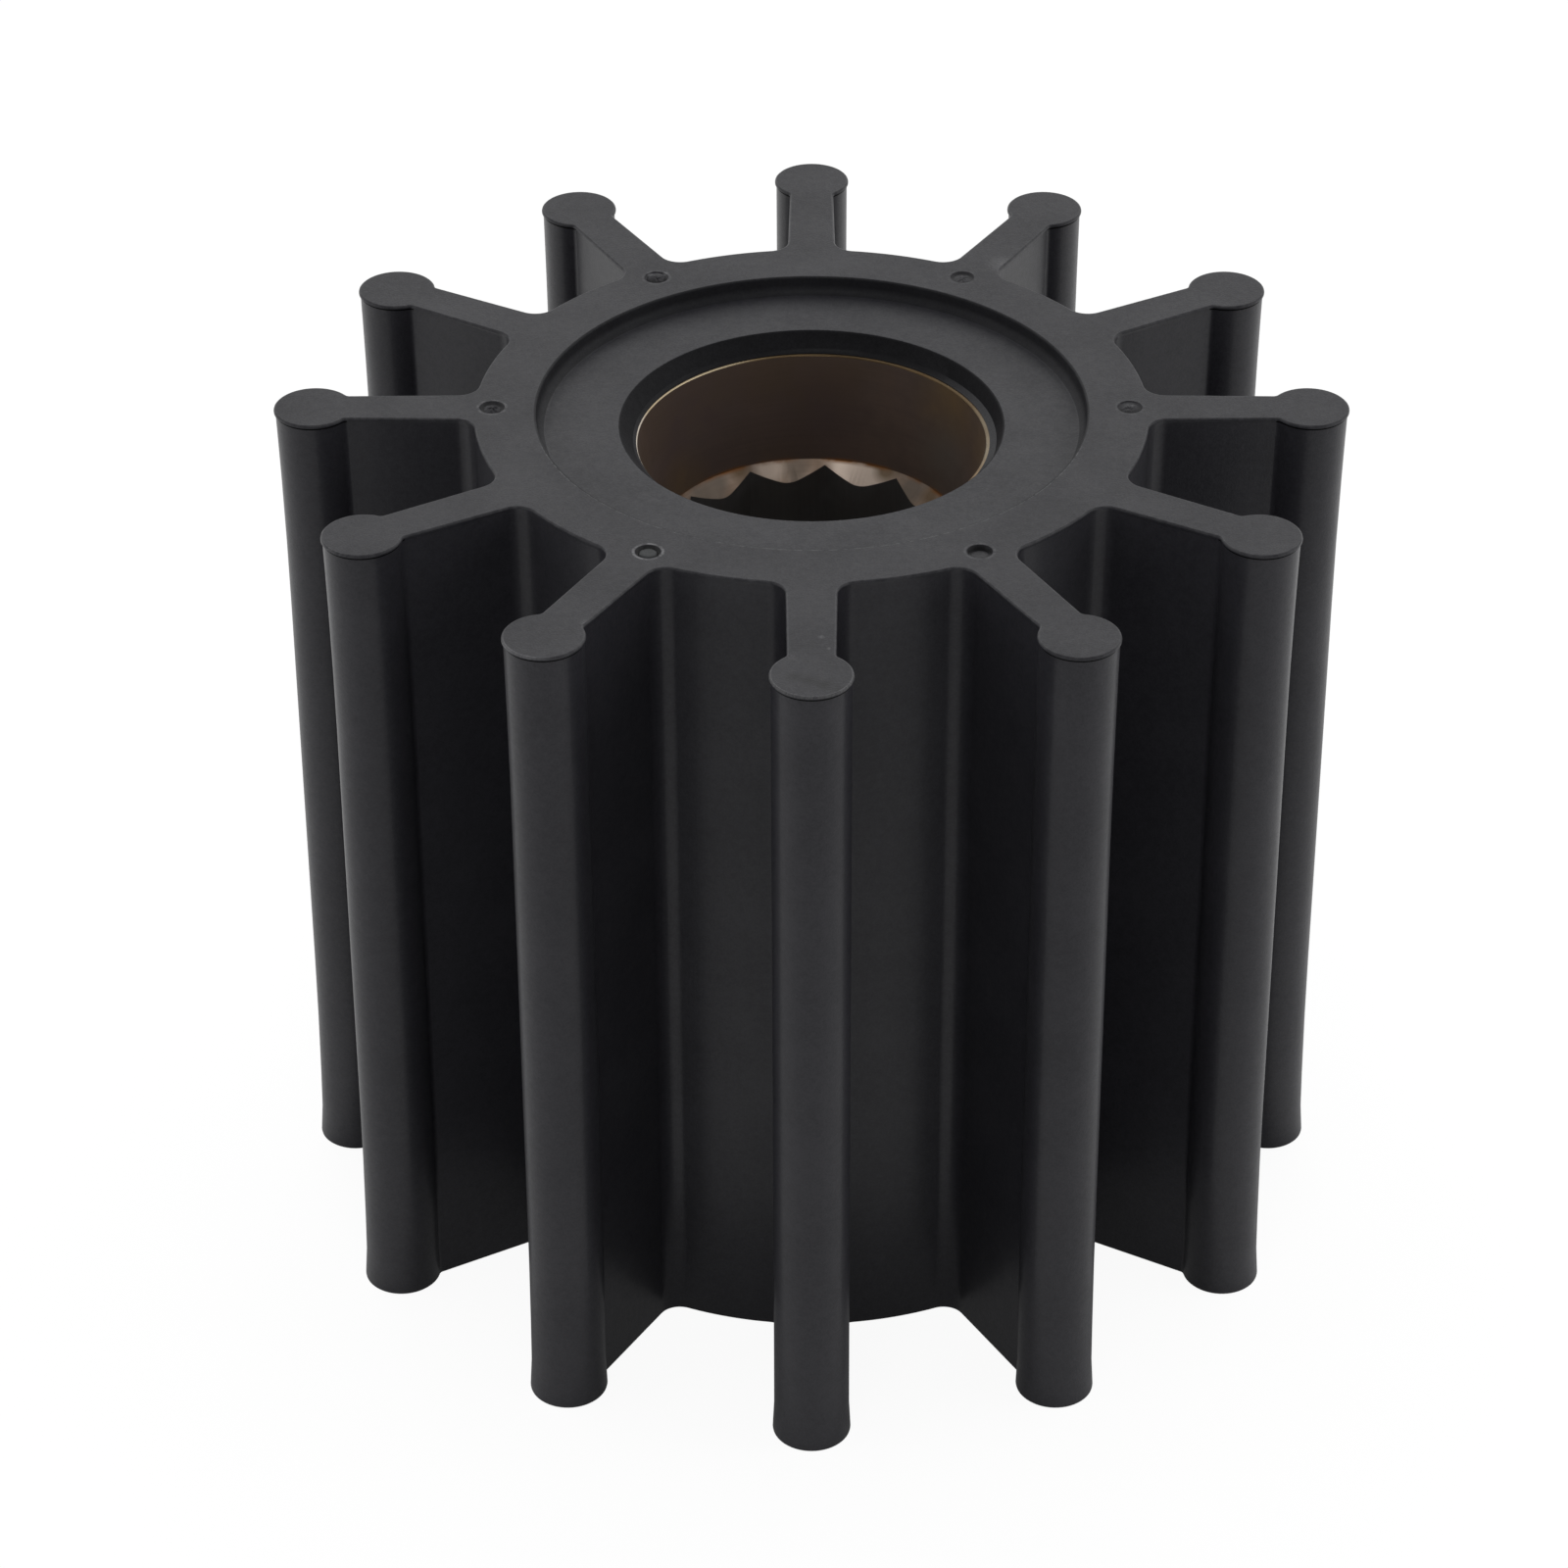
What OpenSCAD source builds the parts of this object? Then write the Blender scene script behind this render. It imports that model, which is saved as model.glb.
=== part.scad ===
// Flexible-vane pump impeller: a moulded rubber hub with straight radial vanes that
// end in round beads, bonded around a metal insert with an internal drive spline.
// Sizes are in millimetres. The shaft runs along Z, and the origin is the centre of
// the lower end face. Both ends of the hub and of the insert are alike.

/* [Overall size] */
// Diameter over the tips of the vanes
tip_d = 95; // [88:0.5:110]
// Width of the hub and the vanes along the shaft
width = 80; // [50:1:120]

/* [Hub] */
// Outside diameter of the hub between the vanes
hub_d = 59.6; // [56:0.2:66]
// Radius of the fillet between a vane and the hub
root_fillet = 1.9; // [0.5:0.1:3]

/* [Vanes] */
// Number of vanes
vane_count = 12; // [6:1:14]
// Thickness of a vane where it leaves the hub
vane_root_t = 4.4; // [3.4:0.1:6]
// Thickness of a vane at the middle of its tip bead
vane_neck_t = 4; // [2.6:0.1:4.4]
// Diameter of the round bead along the tip of a vane
bead_d = 7; // [5.6:0.1:9]
// Radius of the fillet between a vane and its bead
neck_fillet = 0.5; // [0.2:0.1:1.4]

/* [Recess in each end of the hub] */
// Diameter of the shallow round recess
recess_d = 48.6; // [42:0.2:52]
// Depth of the recess below the end of the hub
recess_depth = 1.6; // [0.6:0.1:2.4]
// Radius of the fillet around the foot of the recess wall
recess_fillet = 0.8; // [0.2:0.1:1.4]

/* [Rubber around the mouth of the insert] */
// Width of the bare metal rim left around the mouth of the insert
bare_rim_w = 0.1; // [0:0.05:0.4]
// Width of the thin rubber ledge outside that rim
ledge_w = 0.3; // [0.1:0.05:0.6]
// Thickness of the thin rubber ledge over the end of the insert
ledge_t = 0.3; // [0.1:0.05:0.6]
// How far the rubber mouth widens from the ledge up to the recess
mouth_flare = 0.9; // [0.2:0.1:1.2]

/* [Moulding gate marks on the upper end] */
// Every how many vanes a gate mark stands
gate_every = 2; // [1:1:3]
// Diameter of the circle that the gate marks stand on
gate_circle_d = 56.4; // [54:0.2:57.6]
// Diameter of the round dimple of a gate mark
gate_dimple_d = 2.1; // [1.4:0.1:2.6]
// Depth of the dimple
gate_dimple_depth = 0.4; // [0.2:0.05:0.8]
// Diameter of the torn stub left standing in the dimple
gate_stub_d = 0.9; // [0.4:0.1:1.2]
// Height of the stub above the floor of the dimple
gate_stub_h = 0.25; // [0.1:0.05:0.4]

/* [Metal insert] */
// Outside diameter of the insert, where the rubber is bonded on
insert_d = 38; // [36:0.5:42]
// Distance from the end of the hub down to the end of the insert
insert_setback = 3.3; // [2.8:0.1:6]
// Diameter of the tapered seat at the end of the insert
seat_mouth_d = 30.8; // [29:0.1:32]
// Diameter of the tapered seat at its inner end
seat_foot_d = 27.7; // [27:0.1:28.6]
// Length of the tapered seat along the shaft
seat_length = 10; // [4:0.5:15]
// Width of the bevel around the mouth of the seat
seat_bevel = 0.3; // [0.1:0.05:0.6]

/* [Drive spline] */
// Number of teeth of the spline
spline_teeth = 12; // [9:1:15]
// Diameter across the bottoms of the grooves
spline_root_d = 26.9; // [26:0.1:26.9]
// Diameter inside the tips of the teeth
spline_tip_d = 24.6; // [23.6:0.1:25.2]
// Radius of the rounded nose of a tooth
spline_nose_r = 4; // [1:0.5:4.5]
// Slope of the lead-in on the ends of the teeth, measured from the shaft
spline_lead_angle = 45; // [30:1:60]
// Angle between the first groove and the vane on the Y axis
spline_turn = 5.2; // [-15:0.1:15]

/* [Hidden] */
$fn = 96;

rubber_colour = [0.13, 0.13, 0.14];
bronze_colour = [0.56, 0.42, 0.29];

// How far a cutting shape runs past the face that it opens
past = 1;
// How far the circle of a fillet bites into the curves that it joins
bite = 0.005;

// Vanes
tip_r = tip_d / 2;
hub_r = hub_d / 2;
bead_r = bead_d / 2;
bead_x = tip_r - bead_r;
vane_pitch = 360 / vane_count;

// The side of a vane is a straight line that leans in towards the tip. It is held
// as its outward normal and its distance from the shaft along that normal.
side_lean = atan((vane_root_t - vane_neck_t) / 2 / (bead_x - hub_r));
side_normal = [sin(side_lean), cos(side_lean)];
side_run = [cos(side_lean), -sin(side_lean)];
side_offset = side_normal * [hub_r, vane_root_t / 2];

// The root fillet touches the hub circle and the side of the vane
root_angle = asin((side_offset + root_fillet) / (hub_r + root_fillet)) - side_lean;
root_direction = [cos(root_angle), sin(root_angle)];
root_centre = (hub_r + root_fillet) * root_direction;
root_on_hub = hub_r * root_direction;
root_on_side = root_centre - root_fillet * side_normal;

// The neck fillet touches the side of the vane and the bead
neck_rise = side_offset + neck_fillet - bead_x * side_normal[0];
neck_back = sqrt(pow(bead_r + neck_fillet, 2) - pow(neck_rise, 2));
bead_centre = [bead_x, 0];
neck_centre = bead_centre + neck_rise * side_normal - neck_back * side_run;
neck_on_bead = bead_centre + (neck_centre - bead_centre) * bead_r / (bead_r + neck_fillet);
neck_on_side = neck_centre - neck_fillet * side_normal;

// Ends of the hub
recess_r = recess_d / 2;
recess_floor_z = width - recess_depth;
foot_fillet = min(recess_fillet, recess_depth - 0.1);

// Insert, and the rubber mouth around it
insert_r = insert_d / 2;
insert_low_z = insert_setback;
insert_high_z = width - insert_setback;
insert_length = insert_high_z - insert_low_z;
seat_mouth_r = seat_mouth_d / 2;
seat_foot_r = seat_foot_d / 2;
seat_foot_z = insert_high_z - seat_length;
bevel_r = seat_mouth_r + seat_bevel;
ledge_r = bevel_r + bare_rim_w;
ledge_z = insert_high_z + ledge_t;
mouth_foot_r = ledge_r + ledge_w;
lip_r = mouth_foot_r + mouth_flare;

// Spline
spline_root_r = spline_root_d / 2;
spline_tip_r = spline_tip_d / 2;
tooth_pitch = 360 / spline_teeth;
lead_end_r = spline_tip_r - past;
lead_end_z = seat_foot_z - (seat_foot_r - lead_end_r) / tan(spline_lead_angle);

// A tooth is drawn around +X: its flank leaves the groove along a straight line that
// runs into the circle of the rounded nose, a bite deeper than a tangent would.
nose_centre = [spline_tip_r + spline_nose_r, 0];
groove_point = spline_root_r * [cos(tooth_pitch / 2), -sin(tooth_pitch / 2)];
groove_to_nose = nose_centre - groove_point;
nose_distance = norm(groove_to_nose);
flank_gap = spline_nose_r - bite;
flank_length = sqrt(pow(nose_distance, 2) - pow(flank_gap, 2));
flank_angle = atan2(groove_to_nose[1], groove_to_nose[0]) + asin(flank_gap / nose_distance);
flank_end = groove_point + flank_length * [cos(flank_angle), sin(flank_angle)];

// Gate marks
gate_circle_r = gate_circle_d / 2;

function turned(point, angle) = [
    point[0] * cos(angle) - point[1] * sin(angle),
    point[0] * sin(angle) + point[1] * cos(angle)
];

// Copies its children onto the lower end, upside down
module both_ends() {
    children();
    translate([0, 0, width])
        mirror([0, 0, 1])
            children();
}

// One vane along +X, from inside the hub out to its bead. Its outline runs out along
// the lower side and back along the upper one, around the centres of the fillets.
module vane_profile() {
    inner_point = [hub_r - root_fillet, 0];
    side = [root_on_hub, root_centre, root_on_side, neck_on_side, neck_centre, neck_on_bead];
    lower_side = [for (point = side) [point[0], -point[1]]];
    upper_side = [for (i = [1 : len(side)]) side[len(side) - i]];
    difference() {
        polygon(concat([inner_point], lower_side, [bead_centre], upper_side));
        for (sign = [-1, 1]) {
            translate([root_centre[0], sign * root_centre[1]])
                circle(r = root_fillet + bite);
            translate([neck_centre[0], sign * neck_centre[1]])
                circle(r = neck_fillet + bite);
        }
    }
    translate(bead_centre)
        circle(r = bead_r);
}

module rubber_profile() {
    circle(r = hub_r);
    for (i = [0 : vane_count - 1])
        rotate(i * vane_pitch - 90)
            vane_profile();
}

// Half section of the hollow in the upper end, from the open air down to the insert
module mouth_section() {
    translate([0, recess_floor_z + foot_fillet])
        square([recess_r, recess_depth - foot_fillet + past]);
    translate([0, recess_floor_z])
        square([recess_r - foot_fillet, foot_fillet + past]);
    translate([recess_r - foot_fillet, recess_floor_z + foot_fillet])
        circle(r = foot_fillet);
    polygon([
        [0, ledge_z],
        [mouth_foot_r, ledge_z],
        [lip_r, recess_floor_z],
        [lip_r, recess_floor_z + past / 2],
        [0, recess_floor_z + past / 2]
    ]);
    translate([0, insert_high_z - past])
        square([ledge_r, past + ledge_t + past / 10]);
}

// A dimple where rubber was fed into the mould, with the torn stub inside it
module gate_mark() {
    difference() {
        translate([0, 0, width - gate_dimple_depth])
            cylinder(d = gate_dimple_d, h = gate_dimple_depth + past);
        translate([0, 0, width - gate_dimple_depth - past])
            cylinder(d = gate_stub_d, h = past + gate_stub_h);
    }
}

module vaned_rubber_body() {
    color(rubber_colour)
        difference() {
            linear_extrude(height = width)
                rubber_profile();
            both_ends()
                rotate_extrude()
                    mouth_section();
            translate([0, 0, insert_low_z])
                cylinder(r = insert_r, h = insert_length);
            for (i = [0 : gate_every : vane_count - 1])
                rotate([0, 0, i * vane_pitch])
                    translate([gate_circle_r, 0, 0])
                        gate_mark();
        }
}

// Outline of the splined hole: straight flanks between grooves, with round noses
module spline_profile() {
    flank_pair = [groove_point, flank_end, [flank_end[0], -flank_end[1]]];
    difference() {
        polygon([for (i = [0 : spline_teeth - 1], p = flank_pair) turned(p, i * tooth_pitch)]);
        for (i = [0 : spline_teeth - 1])
            rotate(i * tooth_pitch)
                translate(nose_centre)
                    circle(r = spline_nose_r);
    }
}

// Half section of the bevel, the tapered seat and the lead-in at the upper end
module seat_section() {
    polygon([
        [0, insert_high_z + past],
        [bevel_r, insert_high_z + past],
        [bevel_r, insert_high_z],
        [seat_mouth_r, insert_high_z - seat_bevel],
        [seat_foot_r, seat_foot_z],
        [lead_end_r, lead_end_z],
        [0, lead_end_z]
    ]);
}

module splined_insert() {
    color(bronze_colour)
        difference() {
            translate([0, 0, insert_low_z])
                cylinder(r = insert_r, h = insert_length);
            both_ends()
                rotate_extrude()
                    seat_section();
            rotate([0, 0, 90 - spline_turn + tooth_pitch / 2])
                translate([0, 0, insert_low_z - past])
                    linear_extrude(height = insert_length + 2 * past)
                        spline_profile();
        }
}

vaned_rubber_body();
splined_insert();
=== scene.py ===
"""Looks of a rubber pump impeller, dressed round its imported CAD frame, for Blender 4.5.

The rubber body and the splined insert are modelled again with finer edges than the CAD
solids have, and each gets procedural finishes. Their overall sizes come from the frame.
Every length is in metres. The shaft runs along Z, and the lower end face lies on the
floor at Z = 0.
"""

import logging
import math
from dataclasses import dataclass, replace
from enum import Enum, IntEnum
from typing import Callable, Iterable

import bmesh
import bpy
from mathutils import Matrix, Vector


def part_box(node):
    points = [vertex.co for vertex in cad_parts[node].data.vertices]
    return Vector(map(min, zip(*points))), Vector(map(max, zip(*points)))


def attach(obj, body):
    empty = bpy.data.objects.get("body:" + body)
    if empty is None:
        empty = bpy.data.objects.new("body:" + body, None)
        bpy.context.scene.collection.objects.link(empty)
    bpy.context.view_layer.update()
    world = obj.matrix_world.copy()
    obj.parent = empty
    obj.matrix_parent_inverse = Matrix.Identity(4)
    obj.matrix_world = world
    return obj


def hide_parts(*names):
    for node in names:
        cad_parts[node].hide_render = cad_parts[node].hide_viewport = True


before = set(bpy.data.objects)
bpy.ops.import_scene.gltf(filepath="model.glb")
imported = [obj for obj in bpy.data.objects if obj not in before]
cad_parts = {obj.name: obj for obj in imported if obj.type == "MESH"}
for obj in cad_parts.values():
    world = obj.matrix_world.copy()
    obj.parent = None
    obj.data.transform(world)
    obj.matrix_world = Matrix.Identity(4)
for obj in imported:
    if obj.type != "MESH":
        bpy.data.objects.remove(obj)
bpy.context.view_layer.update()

log = logging.getLogger("impeller")

Socket = bpy.types.NodeSocket
Colour = tuple[float, float, float]
Value = Socket | Colour | float
Span = tuple[float, float]

MM = 0.001
TURN = 2 * math.pi
UP = Vector((0, 0, 1))
SHAFT = Vector((0, 0, 0))

# Lengths that differ by less than this count as equal
TOUCH = 0.01 * MM
# How far past a circle a place may lie and still belong to it
SLACK = 0.05 * MM
# Doubles nearer to each other than this are merged
WELD = 0.0004 * MM

# How level a face lies, from 0 for upright to 1 for flat
FLAT = 0.985
NEARLY_FLAT = 0.95
LEANING = 0.5
STEEP = 0.3

# A fold sharper than this is a corner
CORNER = math.radians(60)


def nominal(size: float) -> float:
    """A size measured on the frame's facets, rounded to a hundredth of a millimetre."""
    return round(size, 5)


rubber_low, rubber_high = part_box("vaned_rubber_body")
insert_low, insert_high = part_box("splined_insert")
WIDTH = nominal(rubber_high.z - rubber_low.z)
TIP_R = nominal(rubber_high.x)
INSERT_R = nominal(insert_high.x)
SETBACK = nominal(insert_low.z - rubber_low.z)


class Slot(Enum):
    """Names of the record's material slots."""

    RUBBER = "black_rubber"
    BRONZE = "bronze"


class Select(Enum):
    """Which kind of mesh element a selection is made of."""

    VERT = "VERT"
    EDGE = "EDGE"


# Drawing helpers


def polar(radius: float, angle: float, height: float = 0.0) -> Vector:
    """Point at a radius and an angle in radians round the shaft, at a height."""
    return Vector((radius * math.cos(angle), radius * math.sin(angle), height))


def object_mode() -> None:
    """Leaves edit mode and deselects every object."""
    if bpy.context.mode != "OBJECT":
        bpy.ops.object.mode_set(mode="OBJECT")
    bpy.ops.object.select_all(action="DESELECT")


def make_active(piece: bpy.types.Object) -> None:
    """Leaves edit mode with one piece, and no other, selected and active.

    Args:
        piece: The object to select.
    """
    object_mode()
    bpy.context.view_layer.objects.active = piece
    piece.select_set(True)


def edit(piece: bpy.types.Object, kind: Select = Select.VERT) -> None:
    """Opens one piece, and no other, in edit mode.

    Args:
        piece: The mesh object to work on.
        kind: The element kind that selections are made of.
    """
    make_active(piece)
    bpy.ops.object.mode_set(mode="EDIT")
    bpy.ops.mesh.select_mode(type=kind.value)


def pick_points(piece: bpy.types.Object, test: Callable[[Vector], bool]) -> None:
    """Selects the points of the open mesh whose place passes a test, and nothing else.

    Args:
        piece: The mesh object, already in edit mode.
        test: Gets the place of a point.
    """
    bpy.ops.mesh.select_mode(type=Select.VERT.value)
    bpy.ops.mesh.select_all(action="DESELECT")
    mesh = bmesh.from_edit_mesh(piece.data)
    for vert in mesh.verts:
        if test(vert.co):
            vert.select_set(True)
    mesh.select_flush_mode()
    bmesh.update_edit_mesh(piece.data)


def pick_edges(piece: bpy.types.Object, test: Callable[[bmesh.types.BMEdge], bool]) -> None:
    """Opens a piece and selects the edges that pass a test, and nothing else.

    Args:
        piece: The mesh object.
        test: Gets an edge.
    """
    edit(piece, Select.EDGE)
    bpy.ops.mesh.select_all(action="DESELECT")
    mesh = bmesh.from_edit_mesh(piece.data)
    for edge in mesh.edges:
        if test(edge):
            edge.select_set(True)
    bmesh.update_edit_mesh(piece.data)


def copy_turned(copies: int, step: float) -> None:
    """Copies all of the open mesh round the shaft.

    Args:
        copies: How many copies are made beside the first.
        step: The angle between one copy and the next, anticlockwise.
    """
    bpy.ops.mesh.select_all(action="SELECT")
    bpy.ops.mesh.spin(steps=copies, angle=-copies * step, center=SHAFT, axis=UP, dupli=True)


def copy_mirrored(scale: tuple[float, float, float], centre: tuple[float, float, float]) -> None:
    """Adds a mirrored copy of all of the open mesh.

    Args:
        scale: -1 along the axis that is mirrored, and 1 along the others.
        centre: A point on the mirror plane.
    """
    bpy.ops.mesh.select_all(action="SELECT")
    bpy.ops.mesh.duplicate()
    bpy.ops.transform.resize(value=scale, center_override=centre)
    bpy.ops.mesh.flip_normals()


def weld(distance: float = WELD) -> None:
    """Merges the doubles of the open mesh."""
    bpy.ops.mesh.select_all(action="SELECT")
    bpy.ops.mesh.remove_doubles(threshold=distance)


def fill() -> None:
    """Closes the outline that is all of the open mesh with one face."""
    bpy.ops.mesh.select_all(action="SELECT")
    bpy.ops.mesh.edge_face_add()


def point_outwards() -> None:
    """Turns every face of the open, closed-shell mesh outwards."""
    bpy.ops.mesh.select_all(action="SELECT")
    bpy.ops.mesh.normals_make_consistent(inside=False)


def revolve(steps: int, centre: Vector = SHAFT) -> None:
    """Turns all of the open chain once round an upright axis and closes the seam.

    Args:
        steps: How many faces there are round the axis.
        centre: A point on the axis.
    """
    bpy.ops.mesh.select_all(action="SELECT")
    bpy.ops.mesh.spin(steps=steps, angle=TURN, center=centre, axis=UP)
    weld()


def join(pieces: list[bpy.types.Object], name: str) -> bpy.types.Object:
    """Joins several meshes into one.

    Args:
        pieces: The objects, of which the first is kept.
        name: The name of the joined piece.

    Returns:
        The joined object.
    """
    object_mode()
    for piece in pieces:
        piece.select_set(True)
    bpy.context.view_layer.objects.active = pieces[0]
    bpy.ops.object.join()
    pieces[0].name = name
    pieces[0].data.name = name
    return pieces[0]


def apply_modifier(piece: bpy.types.Object, kind: str, **settings: object) -> None:
    """Adds a modifier with its settings and applies it.

    Args:
        piece: The mesh object.
        kind: Blender's name of the modifier type.
        settings: Values of the modifier's properties.
    """
    make_active(piece)
    modifier = piece.modifiers.new(kind.title(), kind)
    for key, value in settings.items():
        setattr(modifier, key, value)
    bpy.ops.object.modifier_apply(modifier=modifier.name)


def shade(piece: bpy.types.Object, sharp_angle: float) -> None:
    """Smooth shading that keeps the flat faces flat.

    Args:
        piece: The mesh object.
        sharp_angle: Edges sharper than this angle, in degrees, stay sharp.
    """
    make_active(piece)
    bpy.ops.object.shade_smooth_by_angle(angle=math.radians(sharp_angle))
    apply_modifier(piece, "WEIGHTED_NORMAL", mode="FACE_AREA", weight=100, keep_sharp=True)


class Pen:
    """Draws a chain of edges in edit mode, from point to point."""

    def __init__(self, name: str, start: Vector) -> None:
        """Starts a new mesh object with one vertex.

        Args:
            name: The name of the new object.
            start: Where the chain starts.
        """
        object_mode()
        bpy.ops.mesh.primitive_plane_add(size=MM, location=start)
        self.piece: bpy.types.Object = bpy.context.object
        self.piece.name = name
        bpy.ops.object.transform_apply(location=True, rotation=True, scale=True)
        edit(self.piece)
        bpy.ops.mesh.select_all(action="SELECT")
        bpy.ops.mesh.merge(type="CENTER")
        self.tip = start.copy()

    def line(self, *points: Vector) -> None:
        """Draws straight on through each point.

        Args:
            points: The points, in order.
        """
        for point in points:
            move = tuple(point - self.tip)
            bpy.ops.mesh.extrude_region_move(TRANSFORM_OT_translate={"value": move})
            self.tip = point.copy()

    def section(self, *points: tuple[float, float]) -> None:
        """Draws straight on through points given by their distance along X and their height."""
        self.line(*(Vector((radius, 0, height)) for radius, height in points))

    def arc(self, centre: Vector, angle: float, steps: int, axis: Vector = UP) -> None:
        """Draws an arc round a centre.

        Args:
            centre: The middle of the arc.
            angle: How far it turns, in radians, anticlockwise seen against the axis.
            steps: How many edges it has.
            axis: The direction that it turns about.
        """
        bpy.ops.mesh.spin(steps=steps, angle=-angle, center=centre, axis=axis)
        self.tip = centre + Matrix.Rotation(angle, 3, axis) @ (self.tip - centre)

    def arc_to(self, centre: Vector, end_angle: float, steps: int, clockwise: bool) -> None:
        """Draws an arc in the plan, up to a direction from its centre.

        Args:
            centre: The middle of the arc.
            end_angle: Direction of the arc's end from the centre, in radians.
            steps: How many edges it has.
            clockwise: Which way it runs round the centre.
        """
        start = math.atan2(self.tip.y - centre.y, self.tip.x - centre.x)
        angle = (end_angle - start) % TURN
        self.arc(centre, angle - TURN if clockwise else angle, steps)


# Finishes


class Streak(Enum):
    """Which way the fine lines of a surface run, as a stretch of its grain along each axis."""

    NONE = (1.0, 1.0, 1.0)
    UPRIGHT = (1.0, 1.0, 0.02)
    ROUND = (0.02, 0.02, 1.0)


class Tint(Enum):
    """Colours of worn, torn and stained places, and of painted highlights, sheen and shade."""

    BLACK = (0.004, 0.004, 0.005)
    SMEAR = (0.006, 0.006, 0.007)
    DIMPLE_SHADE = (0.016, 0.016, 0.017)
    SEA_GREY = (0.040, 0.050, 0.047)
    PAINTED_SHEEN = (0.060, 0.060, 0.066)
    WEAR_AND_HIGHLIGHT = (0.160, 0.160, 0.164)
    RUBBED = (0.160, 0.160, 0.166)
    CHALK_AND_GLINT = (0.19, 0.19, 0.20)
    RIM_HIGHLIGHT_GREY = (0.24, 0.24, 0.25)
    RUST = (0.30, 0.13, 0.045)
    PLUM = (0.118, 0.083, 0.081)
    AMBER = (0.215, 0.140, 0.070)
    ASH = (0.160, 0.136, 0.116)
    PEWTER = (0.085, 0.078, 0.072)
    UMBER = (0.11, 0.072, 0.034)
    CREAM = (0.20, 0.17, 0.12)
    FACET_SHADE = (0.21, 0.18, 0.15)
    FACET_HIGHLIGHT = (0.97, 0.80, 0.67)
    GLEAM = (0.95, 0.78, 0.52)
    PALE_GLEAM = (0.80, 0.73, 0.64)


@dataclass(frozen=True)
class Band:
    """A stripe in the run of a value, such as a ring round a point.

    Attributes:
        middle: The value in the middle of the stripe.
        half: How far to either side it has its full strength.
        fade: How far beyond that it reaches.
    """

    middle: float
    half: float
    fade: float


@dataclass(frozen=True)
class Noise:
    """One noise texture.

    Attributes:
        scale: Cells per metre.
        detail: How many finer layers it has.
        rough: How strong the finer layers are.
    """

    scale: float
    detail: float
    rough: float


class Sketch:
    """Node tree in the making."""

    def __init__(self, tree: bpy.types.NodeTree) -> None:
        """Starts with an empty tree."""
        self.tree = tree
        tree.nodes.clear()

    def feed(self, target: Socket, value: Value) -> None:
        """Gives an input its number or colour, or the output that it reads.

        Args:
            target: The input.
            value: What it gets.
        """
        if isinstance(value, Socket):
            self.tree.links.new(value, target)
        elif target.type == "RGBA":
            target.default_value = (*value, 1.0)
        else:
            target.default_value = value

    def add(
        self,
        kind: str,
        inputs: dict[str | int, Value] | None = None,
        **settings: object,
    ) -> bpy.types.Node:
        """Adds a node.

        Args:
            kind: Blender's name of the node type, after "ShaderNode".
            inputs: What each input gets, by its name or number.
            settings: Values of the node's properties.

        Returns:
            The new node.
        """
        node = self.tree.nodes.new(f"ShaderNode{kind}")
        for key, value in settings.items():
            setattr(node, key, value)
        for key, value in (inputs or {}).items():
            self.feed(node.inputs[key], value)
        return node

    def math(self, operation: str, first: Socket, second: Socket | float = 0.0) -> Socket:
        """Square root, sum or another operation on one value or two."""
        return self.add("Math", {0: first, 1: second}, operation=operation).outputs["Value"]

    def product(self, first: Socket, *others: Socket | float) -> Socket:
        """Multiplies a value by others, one after the other.

        Args:
            first: The value.
            others: What it is multiplied by.

        Returns:
            The product.
        """
        for other in others:
            first = self.math("MULTIPLY", first, other)
        return first

    def spread(
        self, value: Socket, low: float, high: float, to_low: float = 0.0, to_high: float = 1.0
    ) -> Socket:
        """A value's range low to high, stretched on to another range and held there."""
        ends = {"From Min": low, "From Max": high, "To Min": to_low, "To Max": to_high}
        return self.add("MapRange", {"Value": value, **ends}).outputs["Result"]

    def mix_shaders(self, factor: Socket, first: Socket, second: Socket) -> Socket:
        """A shader between two shaders."""
        return self.add("MixShader", {"Fac": factor, 1: first, 2: second}).outputs["Shader"]


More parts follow.
